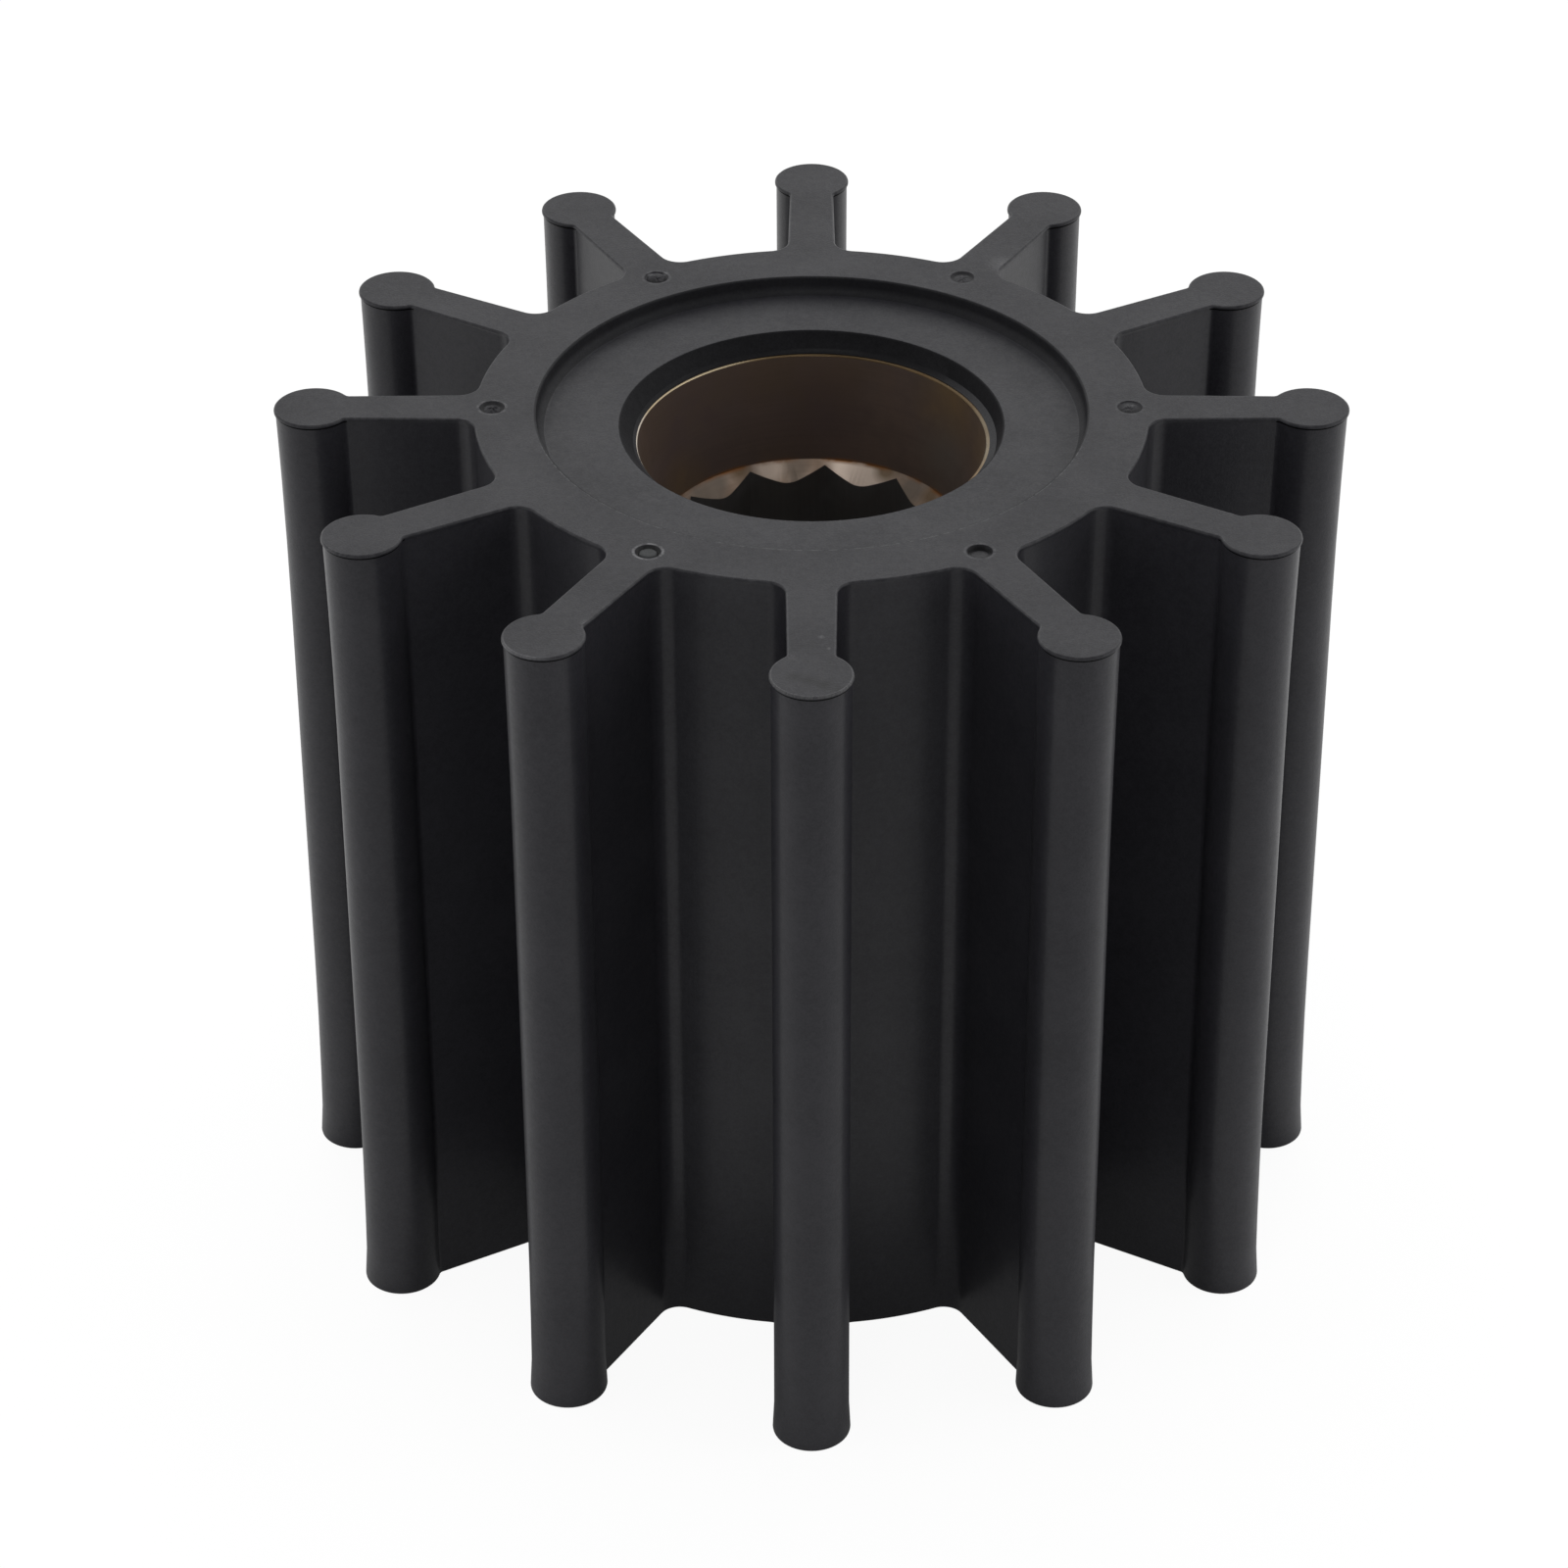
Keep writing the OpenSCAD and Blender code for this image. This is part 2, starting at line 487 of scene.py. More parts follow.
class MaterialSketch(Sketch):
    """Node tree of one material, with the masks and textures that the finishes are made of."""

    def __init__(self, name: str) -> None:
        """Starts an empty material.

        Args:
            name: The material's name.
        """
        self.material = bpy.data.materials.new(name)
        self.material.use_nodes = True
        super().__init__(self.material.node_tree)
        self.place = self.add("TexCoord").outputs["Object"]
        axes = self.add("SeparateXYZ", {"Vector": self.place}).outputs
        self.x, self.y, self.height = axes["X"], axes["Y"], axes["Z"]

    def noise(self, noise: Noise, streak: Streak = Streak.NONE) -> Socket:
        """Noise from 0 to 1.

        Args:
            noise: What the noise is like.
            streak: Which way it is drawn out.

        Returns:
            The noise's value.
        """
        vector = self.add("Mapping", {"Vector": self.place, "Scale": streak.value}).outputs["Vector"]
        looks = {"Scale": noise.scale, "Detail": noise.detail, "Roughness": noise.rough}
        return self.add("TexNoise", {"Vector": vector, **looks}).outputs["Fac"]

    def layered(self, *layers: tuple[Socket, float]) -> Socket:
        """Adds values up, each with its share.

        Args:
            layers: The values and their shares.

        Returns:
            The sum.
        """
        shares = [self.product(value, share) for value, share in layers]
        total = shares[0]
        for share in shares[1:]:
            total = self.math("ADD", total, share)
        return total

    def from_point(self, centre: Vector) -> tuple[Socket, Socket]:
        """Measures from a point in the plan.

        Args:
            centre: The point.

        Returns:
            The distance from it, and how far behind it a place lies.
        """
        aside = self.math("SUBTRACT", self.x, centre.x)
        behind = self.math("SUBTRACT", self.y, centre.y)
        square = self.math("ADD", self.product(aside, aside), self.product(behind, behind))
        return self.math("SQRT", square), behind

    def band(self, value: Socket, band: Band) -> Socket:
        """1 where a value lies within a band's full strength, and 0 past its fade."""
        apart = self.math("ABSOLUTE", self.math("SUBTRACT", value, band.middle))
        return self.spread(apart, band.half, band.half + band.fade, 1.0, 0.0)

    def nearness(self, centre: Vector, radius: float, fade: float) -> Socket:
        """A soft round patch, 1 within a radius of a point and 0 past the fade."""
        apart = self.add("VectorMath", {0: self.place, 1: centre}, operation="DISTANCE")
        return self.spread(apart.outputs["Value"], radius, radius + fade, 1.0, 0.0)

    def mix(self, factor: Socket, first: Colour | Socket, second: Colour | Socket) -> Socket:
        """A colour between two colours.

        Args:
            factor: How far it is the second colour, from 0 to 1.
            first: The colour at 0.
            second: The colour at 1.

        Returns:
            The mixed colour.
        """
        node = self.add("Mix", {"Factor": factor}, data_type="RGBA")
        ends = (socket for socket in node.inputs if socket.type == "RGBA")
        for socket, colour in zip(ends, (first, second)):
            self.feed(socket, colour)
        return next(socket for socket in node.outputs if socket.type == "RGBA")

    def relief(self, *layers: tuple[Socket, float]) -> Socket:
        """Relief of several layers.

        Args:
            layers: The height of each layer, from 0 to 1, and its depth in metres.

        Returns:
            The surface's normal.
        """
        below = {}
        for height, depth in layers:
            node = self.add("Bump", {"Height": height, "Distance": depth, **below})
            below = {"Normal": node.outputs["Normal"]}
        return below["Normal"]

    def finish(self, surface: Socket) -> bpy.types.Material:
        """Puts a surface on the material and hands the material over."""
        self.add("OutputMaterial", {"Surface": surface})
        return self.material

    def principled(self, inputs: dict[str, Value]) -> bpy.types.Material:
        """Finishes the material with the main shader, given its inputs."""
        return self.finish(self.add("BsdfPrincipled", inputs).outputs["BSDF"])


@dataclass(frozen=True)
class ScuffAndPaintedLight:
    """One small place of another colour: wear, a stain, a painted highlight, painted sheen or painted
    shade.

    Attributes:
        centre: Its middle.
        radius: How far it is at full strength.
        fade: How far beyond that it reaches.
        strength: How strong it is, from 0 to 1.
        tint: Colour of the place.
        breaks: How far the grain breaks it up, from 0 to 1.
        shine: How much smoother it is than the rest.
        break_run: How far above its level the grain lets the place through in full.
    """

    centre: Vector
    radius: float
    fade: float
    strength: float
    tint: Tint = Tint.RUBBED
    breaks: float = 1.0
    shine: float = 0.0
    break_run: float = 0.18

    def patch(self, sketch: MaterialSketch) -> Socket:
        """The unbroken patch, from 0 to 1."""
        return sketch.nearness(self.centre, self.radius, self.fade)

    def paint(self, sketch: MaterialSketch, colour: Socket, grain: Socket, level: float) -> Socket:
        """Lays the place over a colour.

        Args:
            sketch: The material in hand.
            colour: The colour under it.
            grain: Noise that breaks it up.
            level: Where the noise starts to let it through.

        Returns:
            The colour with the place on it.
        """
        broken = sketch.spread(grain, level, level + self.break_run, 1 - self.breaks, 1.0)
        share = sketch.product(self.patch(sketch), broken, self.strength)
        return sketch.mix(share, colour, self.tint.value)


Row = tuple[float | Tint, ...]


def spots(height: float, *rows: Row) -> tuple[ScuffAndPaintedLight, ...]:
    """Worn places and painted highlights on a level face.

    Args:
        height: Where the face lies.
        rows: X, Y, radius and fade of each in millimetres, then its other values.

    Returns:
        The scuffs, in order.
    """
    return tuple(
        ScuffAndPaintedLight(Vector((x * MM, y * MM, height)), radius * MM, fade * MM, *look)
        for x, y, radius, fade, *look in rows
    )


def stains_and_painted_light(height: float, *rows: Row) -> tuple[ScuffAndPaintedLight, ...]:
    """Stained places, painted sheen, and painted highlights and shade round the shaft.

    Args:
        height: What their depths are measured from.
        rows: Distance from the shaft, degrees round it, depth, radius and fade of each, with
        lengths in millimetres, then its other values.

    Returns:
        The scuffs, in order.
    """
    return tuple(
        ScuffAndPaintedLight(polar(apart * MM, math.radians(angle), height - depth * MM), radius * MM, fade * MM, *look)
        for apart, angle, depth, radius, fade, *look in rows
    )


@dataclass(frozen=True)
class GateMark:
    """The mark that one feed of the mould left in the upper end face.

    Attributes:
        angle: Where it stands round the shaft, in degrees.
        sink: How deep its centre lies.
        lean: How far its centre leans, in degrees.
        tear: How rough its torn centre is.
        seed: Seed of the torn shape.
        groove: Depth of the ring groove round the torn centre.
        hump: Shape of the torn centre: 1 is a cone, and more is flatter in the middle.
        shift: How far the mark is off its place, along X and Y.
        painted_shade_back: How strong the painted shade on the back half of the groove is, from 0 to 1.
        painted_shade_front: How strong the painted shade on its front half is, from 0 to 1.
        rim_highlight: How strong the painted highlight on the rim round it is, from 0 to 1.
        tint: Colour laid on the torn centre; on the marks at 0, 120 and 300 degrees it is painted shade.
        tint_share: How strong that colour is, from 0 to 1.
        tint_back: How much of it is left on the back half of the torn centre.
        torn_edge: Distances from the middle between which that colour ends.
        tint_run: Distances behind the middle between which it goes over to its back share.
        painted_shade_run: The same for the groove's painted shade.
        groove_ring: Where the groove lies, by the distance from the middle.
        rim_highlight_ring: Where the painted highlight on the rim lies.
        rim_highlight_run: Levels of the mottle between which the painted highlight sets in.
    """

    angle: float
    sink: float
    lean: float
    tear: float
    seed: int
    groove: float
    hump: float
    shift: tuple[float, float]
    painted_shade_back: float
    painted_shade_front: float
    rim_highlight: float
    tint: Tint = Tint.DIMPLE_SHADE
    tint_share: float = 0.0
    tint_back: float = 1.0
    torn_edge: Span = (0.70 * MM, 0.85 * MM)
    tint_run: Span = (-0.5 * MM, 0.1 * MM)
    painted_shade_run: Span = (-0.5 * MM, 0.5 * MM)
    groove_ring: Band = Band(middle=0.90 * MM, half=0.10 * MM, fade=0.14 * MM)
    rim_highlight_ring: Band = Band(middle=1.26 * MM, half=0.05 * MM, fade=0.12 * MM)
    rim_highlight_run: Span = (0.42, 0.58)

    def centre(self, radius: float, height: float) -> Vector:
        """The middle of the mark as it stands."""
        return polar(radius, math.radians(self.angle), height) + Vector((*self.shift, 0))

    def depth(self, share: float) -> float:
        """How deep the torn centre lies, at a share of the way out to the groove."""
        return self.sink + (self.groove - self.sink) * share**self.hump

    def paint(
        self, sketch: MaterialSketch, colour: Socket, mottle: Socket, centre: Vector
    ) -> Socket:
        """Paints shade into the groove, lays a colour on the torn centre, and paints a highlight on the
        rim round it.

        Args:
            sketch: The material in hand.
            colour: The colour under it.
            mottle: Noise of the size of the mottle.
            centre: The middle of the mark.

        Returns:
            The colour with the mark on it.
        """
        apart, behind = sketch.from_point(centre)
        front = sketch.spread(behind, *self.tint_run, 1.0, self.tint_back)
        torn = sketch.spread(apart, *self.torn_edge, self.tint_share, 0.0)
        # Painted shade: the groove is darkened towards black, with its own strength on the back half and
        # on the front half.
        groove = sketch.band(apart, self.groove_ring)
        dark = sketch.spread(behind, *self.painted_shade_run, self.painted_shade_front, self.painted_shade_back)
        # Painted highlight: a pale ring on the rim round the mark, broken up by the mottle.
        rim_highlight = sketch.band(apart, self.rim_highlight_ring)
        broken = sketch.spread(mottle, *self.rim_highlight_run, 0.1 * self.rim_highlight, self.rim_highlight)
        # The torn centre's colour; on the marks at 0, 120 and 300 degrees it is painted shade.
        colour = sketch.mix(sketch.product(torn, front), colour, self.tint.value)
        colour = sketch.mix(sketch.product(groove, dark), colour, Tint.BLACK.value)
        return sketch.mix(sketch.product(rim_highlight, broken), colour, Tint.RIM_HIGHLIGHT_GREY.value)


@dataclass(frozen=True)
class RubberFinish:
    """Black moulded rubber with a satin skin.

    Attributes:
        name: The material's name.
        dark: Colour of the darker cloud of the skin.
        pale: Colour of its paler cloud.
        roughness: Middle roughness.
        ior: Refractive index, which sets how much the skin mirrors.
        coat: Weight of the thin smooth skin over the rubber.
        grain_depth: Depth of the fine grain.
        streak: Which way the fine lines of the mould run.
        worn_share: How much of the whole surface is worn.
        painted_highlight_rings: Rings round the shaft that get a painted highlight along their front.
        gates: Middle of each gate mark, with the mark.
        markings: Worn places, and painted highlights.
        tone_run: Levels of the noise between which the colour changes.
        rough_run: Levels of the noise between which the roughness changes.
        rough_swing: How far the roughness changes either way.
        wear_and_highlight_run: Levels of the mottle between which worn places and painted highlight
            rings show.
        marking_level: Level of the grain from which worn places and painted highlights show.
        ring_front: How far forward a painted highlight ring starts and is in full, as a share of its
            radius.
        ring_share: How strong a painted highlight ring is.
        line_depth: Depth of the fine lines.
        coat_roughness: Roughness of the thin smooth skin.
        coat_ior: Its refractive index.
    """

    name: str
    dark: Colour = (0.0315, 0.0310, 0.0375)
    pale: Colour = (0.0475, 0.0468, 0.0550)
    roughness: float = 0.44
    ior: float = 1.5
    coat: float = 0.0
    grain_depth: float = 0.016 * MM
    streak: Streak = Streak.NONE
    worn_share: float = 0.0
    painted_highlight_rings: tuple[Band, ...] = ()
    gates: tuple[tuple[Vector, GateMark], ...] = ()
    markings: tuple[ScuffAndPaintedLight, ...] = ()
    tone_run: Span = (0.40, 0.60)
    rough_run: Span = (0.3, 0.7)
    rough_swing: float = 0.05
    wear_and_highlight_run: Span = (0.42, 0.60)
    marking_level: float = 0.42
    ring_front: Span = (-0.22, -0.36)
    ring_share: float = 0.8
    line_depth: float = 0.01 * MM
    coat_roughness: float = 0.2
    coat_ior: float = 1.6

    def make(self) -> bpy.types.Material:
        """Builds the node tree.

        Returns:
            The finished material.
        """
        sketch = MaterialSketch(self.name)
        cloud = sketch.noise(Noise(scale=140, detail=3, rough=0.55))
        mottle = sketch.noise(Noise(scale=1500, detail=5, rough=0.6))
        grain = sketch.noise(Noise(scale=5200, detail=3, rough=0.6))
        lines = sketch.noise(Noise(scale=1700, detail=3, rough=0.6), self.streak)
        skin = sketch.layered((cloud, 0.3), (mottle, 0.3), (grain, 0.4))
        colour = sketch.mix(sketch.spread(skin, *self.tone_run), self.dark, self.pale)
        dull, shiny = self.roughness + self.rough_swing, self.roughness - self.rough_swing
        roughness = sketch.spread(skin, *self.rough_run, dull, shiny)
        # Paler places: wear, and painted highlight rings along the front.
        for place in self._wear_and_highlight_places(sketch, mottle):
            colour = sketch.mix(place, colour, Tint.WEAR_AND_HIGHLIGHT.value)
        # Worn and stained places, painted sheen and painted glints, as each finish lists them.
        for marking in self.markings:
            colour = marking.paint(sketch, colour, grain, self.marking_level)
            if marking.shine:
                smoother = sketch.product(marking.patch(sketch), marking.shine)
                roughness = sketch.math("SUBTRACT", roughness, smoother)
        for centre, mark in self.gates:
            colour = mark.paint(sketch, colour, mottle, centre)
        looks = {
            "Base Color": colour,
            "Roughness": roughness,
            "Normal": sketch.relief((lines, self.line_depth), (grain, self.grain_depth)),
            "IOR": self.ior,
            "Coat Weight": self.coat,
            "Coat Roughness": self.coat_roughness,
            "Coat IOR": self.coat_ior,
        }
        return sketch.principled(looks)

    def _wear_and_highlight_places(self, sketch: MaterialSketch, mottle: Socket) -> list[Socket]:
        """Gathers the worn places and the painted highlight rings, broken up by the mottle.

        Args:
            sketch: The material in hand.
            mottle: Noise of the size of the mottle.

        Returns:
            How far each kind of place is paled, from 0 to 1: by wear, and by painted highlight on the
            rings.
        """
        broken = sketch.spread(mottle, *self.wear_and_highlight_run)
        places = []
        if self.worn_share:
            places.append(sketch.product(broken, self.worn_share))
        for ring in self.painted_highlight_rings:
            radius, behind = sketch.from_point(SHAFT)
            forward = sketch.math("DIVIDE", behind, radius)
            front = sketch.spread(forward, *self.ring_front, 0.0, self.ring_share)
            places.append(sketch.product(sketch.band(radius, ring), broken, front))
        return places


@dataclass(frozen=True)
class BronzeFinish:
    """Bronze with fine tool marks.

    Attributes:
        name: The material's name.
        dark: Colour of the stained parts.
        pale: Colour of the clean parts.
        roughness: Middle roughness.
        metallic: How far it shines as bare metal does.
        rust_line: A rusty line round the piece, by its height.
        streak: Which way the tool marks run.
        mark_depth: Depth of the tool marks.
        bloom: Colour of the tarnish.
        bloom_share: How strong the tarnish is at most.
        bloom_scale: Patches of tarnish per metre.
        stains_and_painted_light: Places of another colour: stain colours, and on the rim and the tooth
            ends painted highlights and shade.
        tone_run: Levels of the noise between which the colour changes.
        bloom_run: Levels of the noise between which the tarnish sets in.
        rust_run: Levels of the noise between which the rust does.
        stain_and_light_level: Level of the noise from which those places show.
        rough_run: Levels of the noise between which the roughness changes.
        rough_swing: How far the roughness changes either way.
        grain_depth: Depth of the fine grain.
    """

    name: str
    dark: Colour
    pale: Colour
    roughness: float
    metallic: float
    rust_line: Band
    streak: Streak = Streak.ROUND
    mark_depth: float = 0.004 * MM
    bloom: Colour = (0.16, 0.09, 0.04)
    bloom_share: float = 0.5
    bloom_scale: float = 90.0
    stains_and_painted_light: tuple[ScuffAndPaintedLight, ...] = ()
    tone_run: Span = (0.36, 0.64)
    bloom_run: Span = (0.44, 0.56)
    rust_run: Span = (0.4, 0.6)
    stain_and_light_level: float = 0.40
    rough_run: Span = (0.3, 0.7)
    rough_swing: float = 0.07
    grain_depth: float = 0.003 * MM

    def make(self) -> bpy.types.Material:
        """Builds the node tree.

        Returns:
            The finished material.
        """
        sketch = MaterialSketch(self.name)
        stain = sketch.noise(Noise(scale=260, detail=4, rough=0.6))
        lines = sketch.noise(Noise(scale=3200, detail=4, rough=0.65), self.streak)
        grain = sketch.noise(Noise(scale=6000, detail=2, rough=0.55))
        tarnish = sketch.noise(Noise(scale=self.bloom_scale, detail=3, rough=0.5))
        tone = sketch.layered((stain, 0.65), (lines, 0.35))
        colour = sketch.mix(sketch.spread(tone, *self.tone_run), self.dark, self.pale)
        bloom = sketch.spread(tarnish, *self.bloom_run, 0.0, self.bloom_share)
        colour = sketch.mix(bloom, colour, self.bloom)
        for place in self.stains_and_painted_light:
            colour = place.paint(sketch, colour, stain, self.stain_and_light_level)
        broken = sketch.spread(stain, *self.rust_run)
        rusty = sketch.product(sketch.band(sketch.height, self.rust_line), broken)
        dull, shiny = self.roughness + self.rough_swing, self.roughness - self.rough_swing
        looks = {
            "Base Color": sketch.mix(rusty, colour, Tint.RUST.value),
            "Roughness": sketch.spread(stain, *self.rough_run, dull, shiny),
            "Normal": sketch.relief((lines, self.mark_depth), (grain, self.grain_depth)),
            "Metallic": self.metallic,
        }
        return sketch.principled(looks)


@dataclass(frozen=True)
class FloorFinish:
    """Pale floor that looks white to the camera and still shows a faint shadow. Close round the object's
    foot its grey and its glow are darker, a painted shadow that the object's lower sides mirror.

    Attributes:
        name: The material's name.
        level: The floor's own grey level.
        painted_shadow_level: Its grey level under the object, a painted shadow.
        painted_shadow_glow: Share of the glow that is left in that painted shadow.
        painted_shadow_run: Distances from the shaft between which both change.
        shadow_level: Grey level that catches the shadow that the camera sees.
        seen_glow: Even white that the camera sees under it.
        near_glow: Share of even white that reflections see in front of the object.
        far_glow: The same share behind the object.
        glow_run: Where along Y the share changes from near to far.
    """

    name: str = "pale_floor"
    level: float = 0.9
    painted_shadow_level: float = 0.35
    painted_shadow_glow: float = 0.35
    painted_shadow_run: tuple[float, float] = (44 * MM, 50 * MM)
    shadow_level: float = 0.18
    seen_glow: float = 0.93
    near_glow: float = 0.0
    far_glow: float = 0.9
    glow_run: tuple[float, float] = (-0.15, 0.12)

    def make(self) -> bpy.types.Material:
        """Builds the node tree.

        Returns:
            The finished material.
        """
        sketch = MaterialSketch(self.name)
        rays = sketch.add("LightPath").outputs
        apart, _ = sketch.from_point(SHAFT)
        # Painted shadow: the floor's grey and its glow are darker close to the shaft.
        level = sketch.spread(apart, *self.painted_shadow_run, self.painted_shadow_level, self.level)
        glow = sketch.spread(sketch.y, *self.glow_run, self.near_glow, self.far_glow)
        glow = sketch.product(glow, sketch.spread(apart, *self.painted_shadow_run, self.painted_shadow_glow, 1.0))
        mirrored = sketch.math("MAXIMUM", rays["Is Glossy Ray"], rays["Is Transmission Ray"])
        ground = sketch.add("BsdfDiffuse", {"Color": level}).outputs["BSDF"]
        white = sketch.add("Emission", {"Strength": 1.0}).outputs["Emission"]
        room = sketch.mix_shaders(sketch.product(mirrored, glow), ground, white)
        shadow = sketch.add("BsdfDiffuse", {"Color": 3 * (self.shadow_level,)}).outputs["BSDF"]
        even = sketch.add("Emission", {"Strength": self.seen_glow}).outputs["Emission"]
        seen = sketch.add("AddShader", {0: shadow, 1: even}).outputs["Shader"]
        return sketch.finish(sketch.mix_shaders(rays["Is Camera Ray"], room, seen))


def cover(
    piece: bpy.types.Object,
    finishes: Iterable[RubberFinish | BronzeFinish],
    kind_at: Callable[[Vector, float], IntEnum],
) -> None:
    """Gives a piece its materials, and each face the one that its kind of surface has.

    Args:
        piece: The mesh object.
        finishes: The finish of each kind of surface, in the order of the kinds.
        kind_at: Gets the middle of a face and how level it lies, and tells its kind.
    """
    for finish in finishes:
        piece.data.materials.append(finish.make())
    for face in piece.data.polygons:
        face.material_index = kind_at(face.center, abs(face.normal.z))


# Rubber body


class Skin(IntEnum):
    """Surfaces of the rubber, in the order of the piece's materials."""

    SIDE = 0
    END_FACE = 1
    RECESS_FLOOR = 2
    RECESS_WALL = 3
    TRIMMED_EDGE = 4
    CREASE = 5
    CONE = 6
    LEDGE = 7


@dataclass
class VanedRubberBody:
    """The moulded rubber: hub, twelve straight vanes with round beads, and end recesses."""

    width: float = WIDTH
    tip_r: float = TIP_R
    hub_r: float = 29.8 * MM
    vanes: int = 12
    root_t: float = 4.4 * MM
    neck_t: float = 4.0 * MM
    bead_r: float = 3.5 * MM
    root_fillet: float = 1.9 * MM
    neck_fillet: float = 0.5 * MM
    edge_round: float = 0.2 * MM
    lip_height: float = 0.28 * MM
    crease_height: float = 0.22 * MM
    crease_depth: float = 0.2 * MM
    lip_proud: float = 0.04 * MM
    bead_lip_proud: float = 0.10 * MM
    waist: float = 0.3 * MM
    waist_run: float = 20 * MM
    recess_r: float = 24.3 * MM
    recess_depth: float = 1.6 * MM
    recess_fillet: float = 0.8 * MM
    rim_round: float = 0.2 * MM
    mouth_lip_r: float = 17.0 * MM
    mouth_foot_r: float = 16.1 * MM
    mouth_shift: float = 0.28 * MM
    lip_round: float = 0.3 * MM
    ledge_r: float = 15.66 * MM
    ledge_t: float = 0.3 * MM
    ledge_foot: float = 0.05 * MM
    ledge_shift: float = 0.12 * MM
    setback: float = SETBACK
    insert_r: float = INSERT_R
    gate_r: float = 28.2 * MM
    dimple_r: float = 1.12 * MM
    leaning_r: float = 1.0 * MM
    torn_r: float = 0.73 * MM
    torn_cap: float = 0.02 * MM
    join_gap: float = 0.002 * MM
    rim_steps: int = 8
    dimple_steps: int = 14
    # Each mark paints shade into its groove and a highlight on its rim; the dark tints of the marks at
    # 0, 120 and 300 degrees are painted shade on the torn centre.
    marks: tuple[GateMark, ...] = (
        GateMark(
            angle=0, sink=0.16 * MM, lean=-9, tear=0.07 * MM, seed=3, groove=0.25 * MM, hump=4,
            shift=(-0.1 * MM, -0.05 * MM), painted_shade_back=0, painted_shade_front=1, rim_highlight=0.1,
            tint=Tint.SMEAR, tint_share=0.6, tint_back=0,
        ),
        GateMark(
            angle=60, sink=0.12 * MM, lean=-1, tear=0.06 * MM, seed=5, groove=0.22 * MM, hump=2,
            shift=(-0.2 * MM, -0.15 * MM), painted_shade_back=0.5, painted_shade_front=0.5, rim_highlight=0.1,
        ),
        GateMark(
            angle=120, sink=0.10 * MM, lean=-13, tear=0.06 * MM, seed=7, groove=0.26 * MM, hump=4,
            shift=(-0.22 * MM, -0.2 * MM), painted_shade_back=0, painted_shade_front=1, rim_highlight=0.2,
            tint=Tint.BLACK, tint_share=0.95, tint_back=0,
        ),
        GateMark(
            angle=180, sink=0.10 * MM, lean=-3, tear=0.09 * MM, seed=11, groove=0.28 * MM, hump=2,
            shift=(0, -0.1 * MM), painted_shade_back=0.6, painted_shade_front=1, rim_highlight=0.4,
        ),
        GateMark(
            angle=240, sink=0.12 * MM, lean=0, tear=0.02 * MM, seed=13, groove=0.3 * MM, hump=8,
            shift=(0.32 * MM, -0.32 * MM), painted_shade_back=0.9, painted_shade_front=0.8, rim_highlight=1,
            tint=Tint.SEA_GREY, tint_share=0.5,
        ),
        GateMark(
            angle=300, sink=0.28 * MM, lean=5, tear=0.02 * MM, seed=17, groove=0.36 * MM, hump=4,
            shift=(0.07 * MM, -0.28 * MM), painted_shade_back=0.9, painted_shade_front=0, rim_highlight=0.25,
            tint=Tint.DIMPLE_SHADE, tint_share=0.4,
        ),
    )

    def build(self) -> bpy.types.Object:
        """Models the body and dresses it.

        Returns:
            The finished piece.
        """
        upper = self._end_plate("upper_plate", self.width, True)
        self._draw_walls(upper)
        lower = self._end_plate("lower_plate", 0.0, False)
        marks = [self._gate_mark(mark) for mark in self.marks]
        piece = join([upper, lower, self._mouth(), *marks], "moulded_vaned_rubber")
        edit(piece)
        weld(self.join_gap)
        point_outwards()
        self._set_marks(piece)
        self._leave_lips(piece)
        self._round_edges(piece)
        shade(piece, sharp_angle=40)
        self._dress(piece)
        return piece

    def _half_outline(self, pen: Pen) -> None:
        """Draws from the tip of a bead to the middle of the next gap, as a mould maker would.

        Args:
            pen: The pen, at the tip of a vane that points along X.
        """
        lean = math.atan((self.root_t - self.neck_t) / 2 / (self.tip_r - self.bead_r - self.hub_r))
        normal = Vector((math.sin(lean), math.cos(lean), 0))
        run = Vector((math.cos(lean), -math.sin(lean), 0))
        height = pen.tip.z
        offset = normal.x * self.hub_r + normal.y * self.root_t / 2
        reach = self.hub_r + self.root_fillet
        root_angle = math.asin((offset + self.root_fillet) / reach) - lean
        root_centre = polar(reach, root_angle, height)
        bead = Vector((self.tip_r - self.bead_r, 0, height))
        rise = offset + self.neck_fillet - bead.x * normal.x
        back = math.sqrt((self.bead_r + self.neck_fillet) ** 2 - rise**2)
        neck_centre = bead + rise * normal - back * run
        facing_in = -math.pi / 2 - lean
        bead_end = math.atan2(neck_centre.y, neck_centre.x - bead.x)
        pen.arc_to(bead, bead_end, steps=22, clockwise=False)
        pen.arc_to(neck_centre, facing_in, steps=6, clockwise=True)
        pen.line(root_centre - self.root_fillet * normal)
        pen.arc_to(root_centre, root_angle + math.pi, steps=12, clockwise=True)
        pen.arc_to(UP * height, math.pi / self.vanes, steps=6, clockwise=False)

    def _half_sector(self, name: str, height: float, marked: bool) -> bpy.types.Object:
        """Flat end face of half a vane and half a gap.

        Args:
            name: The name of the new object.
            height: Where the end face lies.
            marked: Leaves the half circle of a gate mark open.

        Returns:
            The new object, in edit mode.
        """
        pen = Pen(name, Vector((self.tip_r, 0, height)))
        self._half_outline(pen)
        half = math.pi / self.vanes
        pen.line(polar(self.recess_r + self.rim_round, half, height))
        pen.arc(UP * height, -half, self.rim_steps)
        if marked:
            pen.section((self.gate_r - self.dimple_r, height))
            pen.arc(Vector((self.gate_r, 0, height)), -math.pi, self.dimple_steps)
        pen.section((self.tip_r, height))
        weld()
        fill()
        return pen.piece

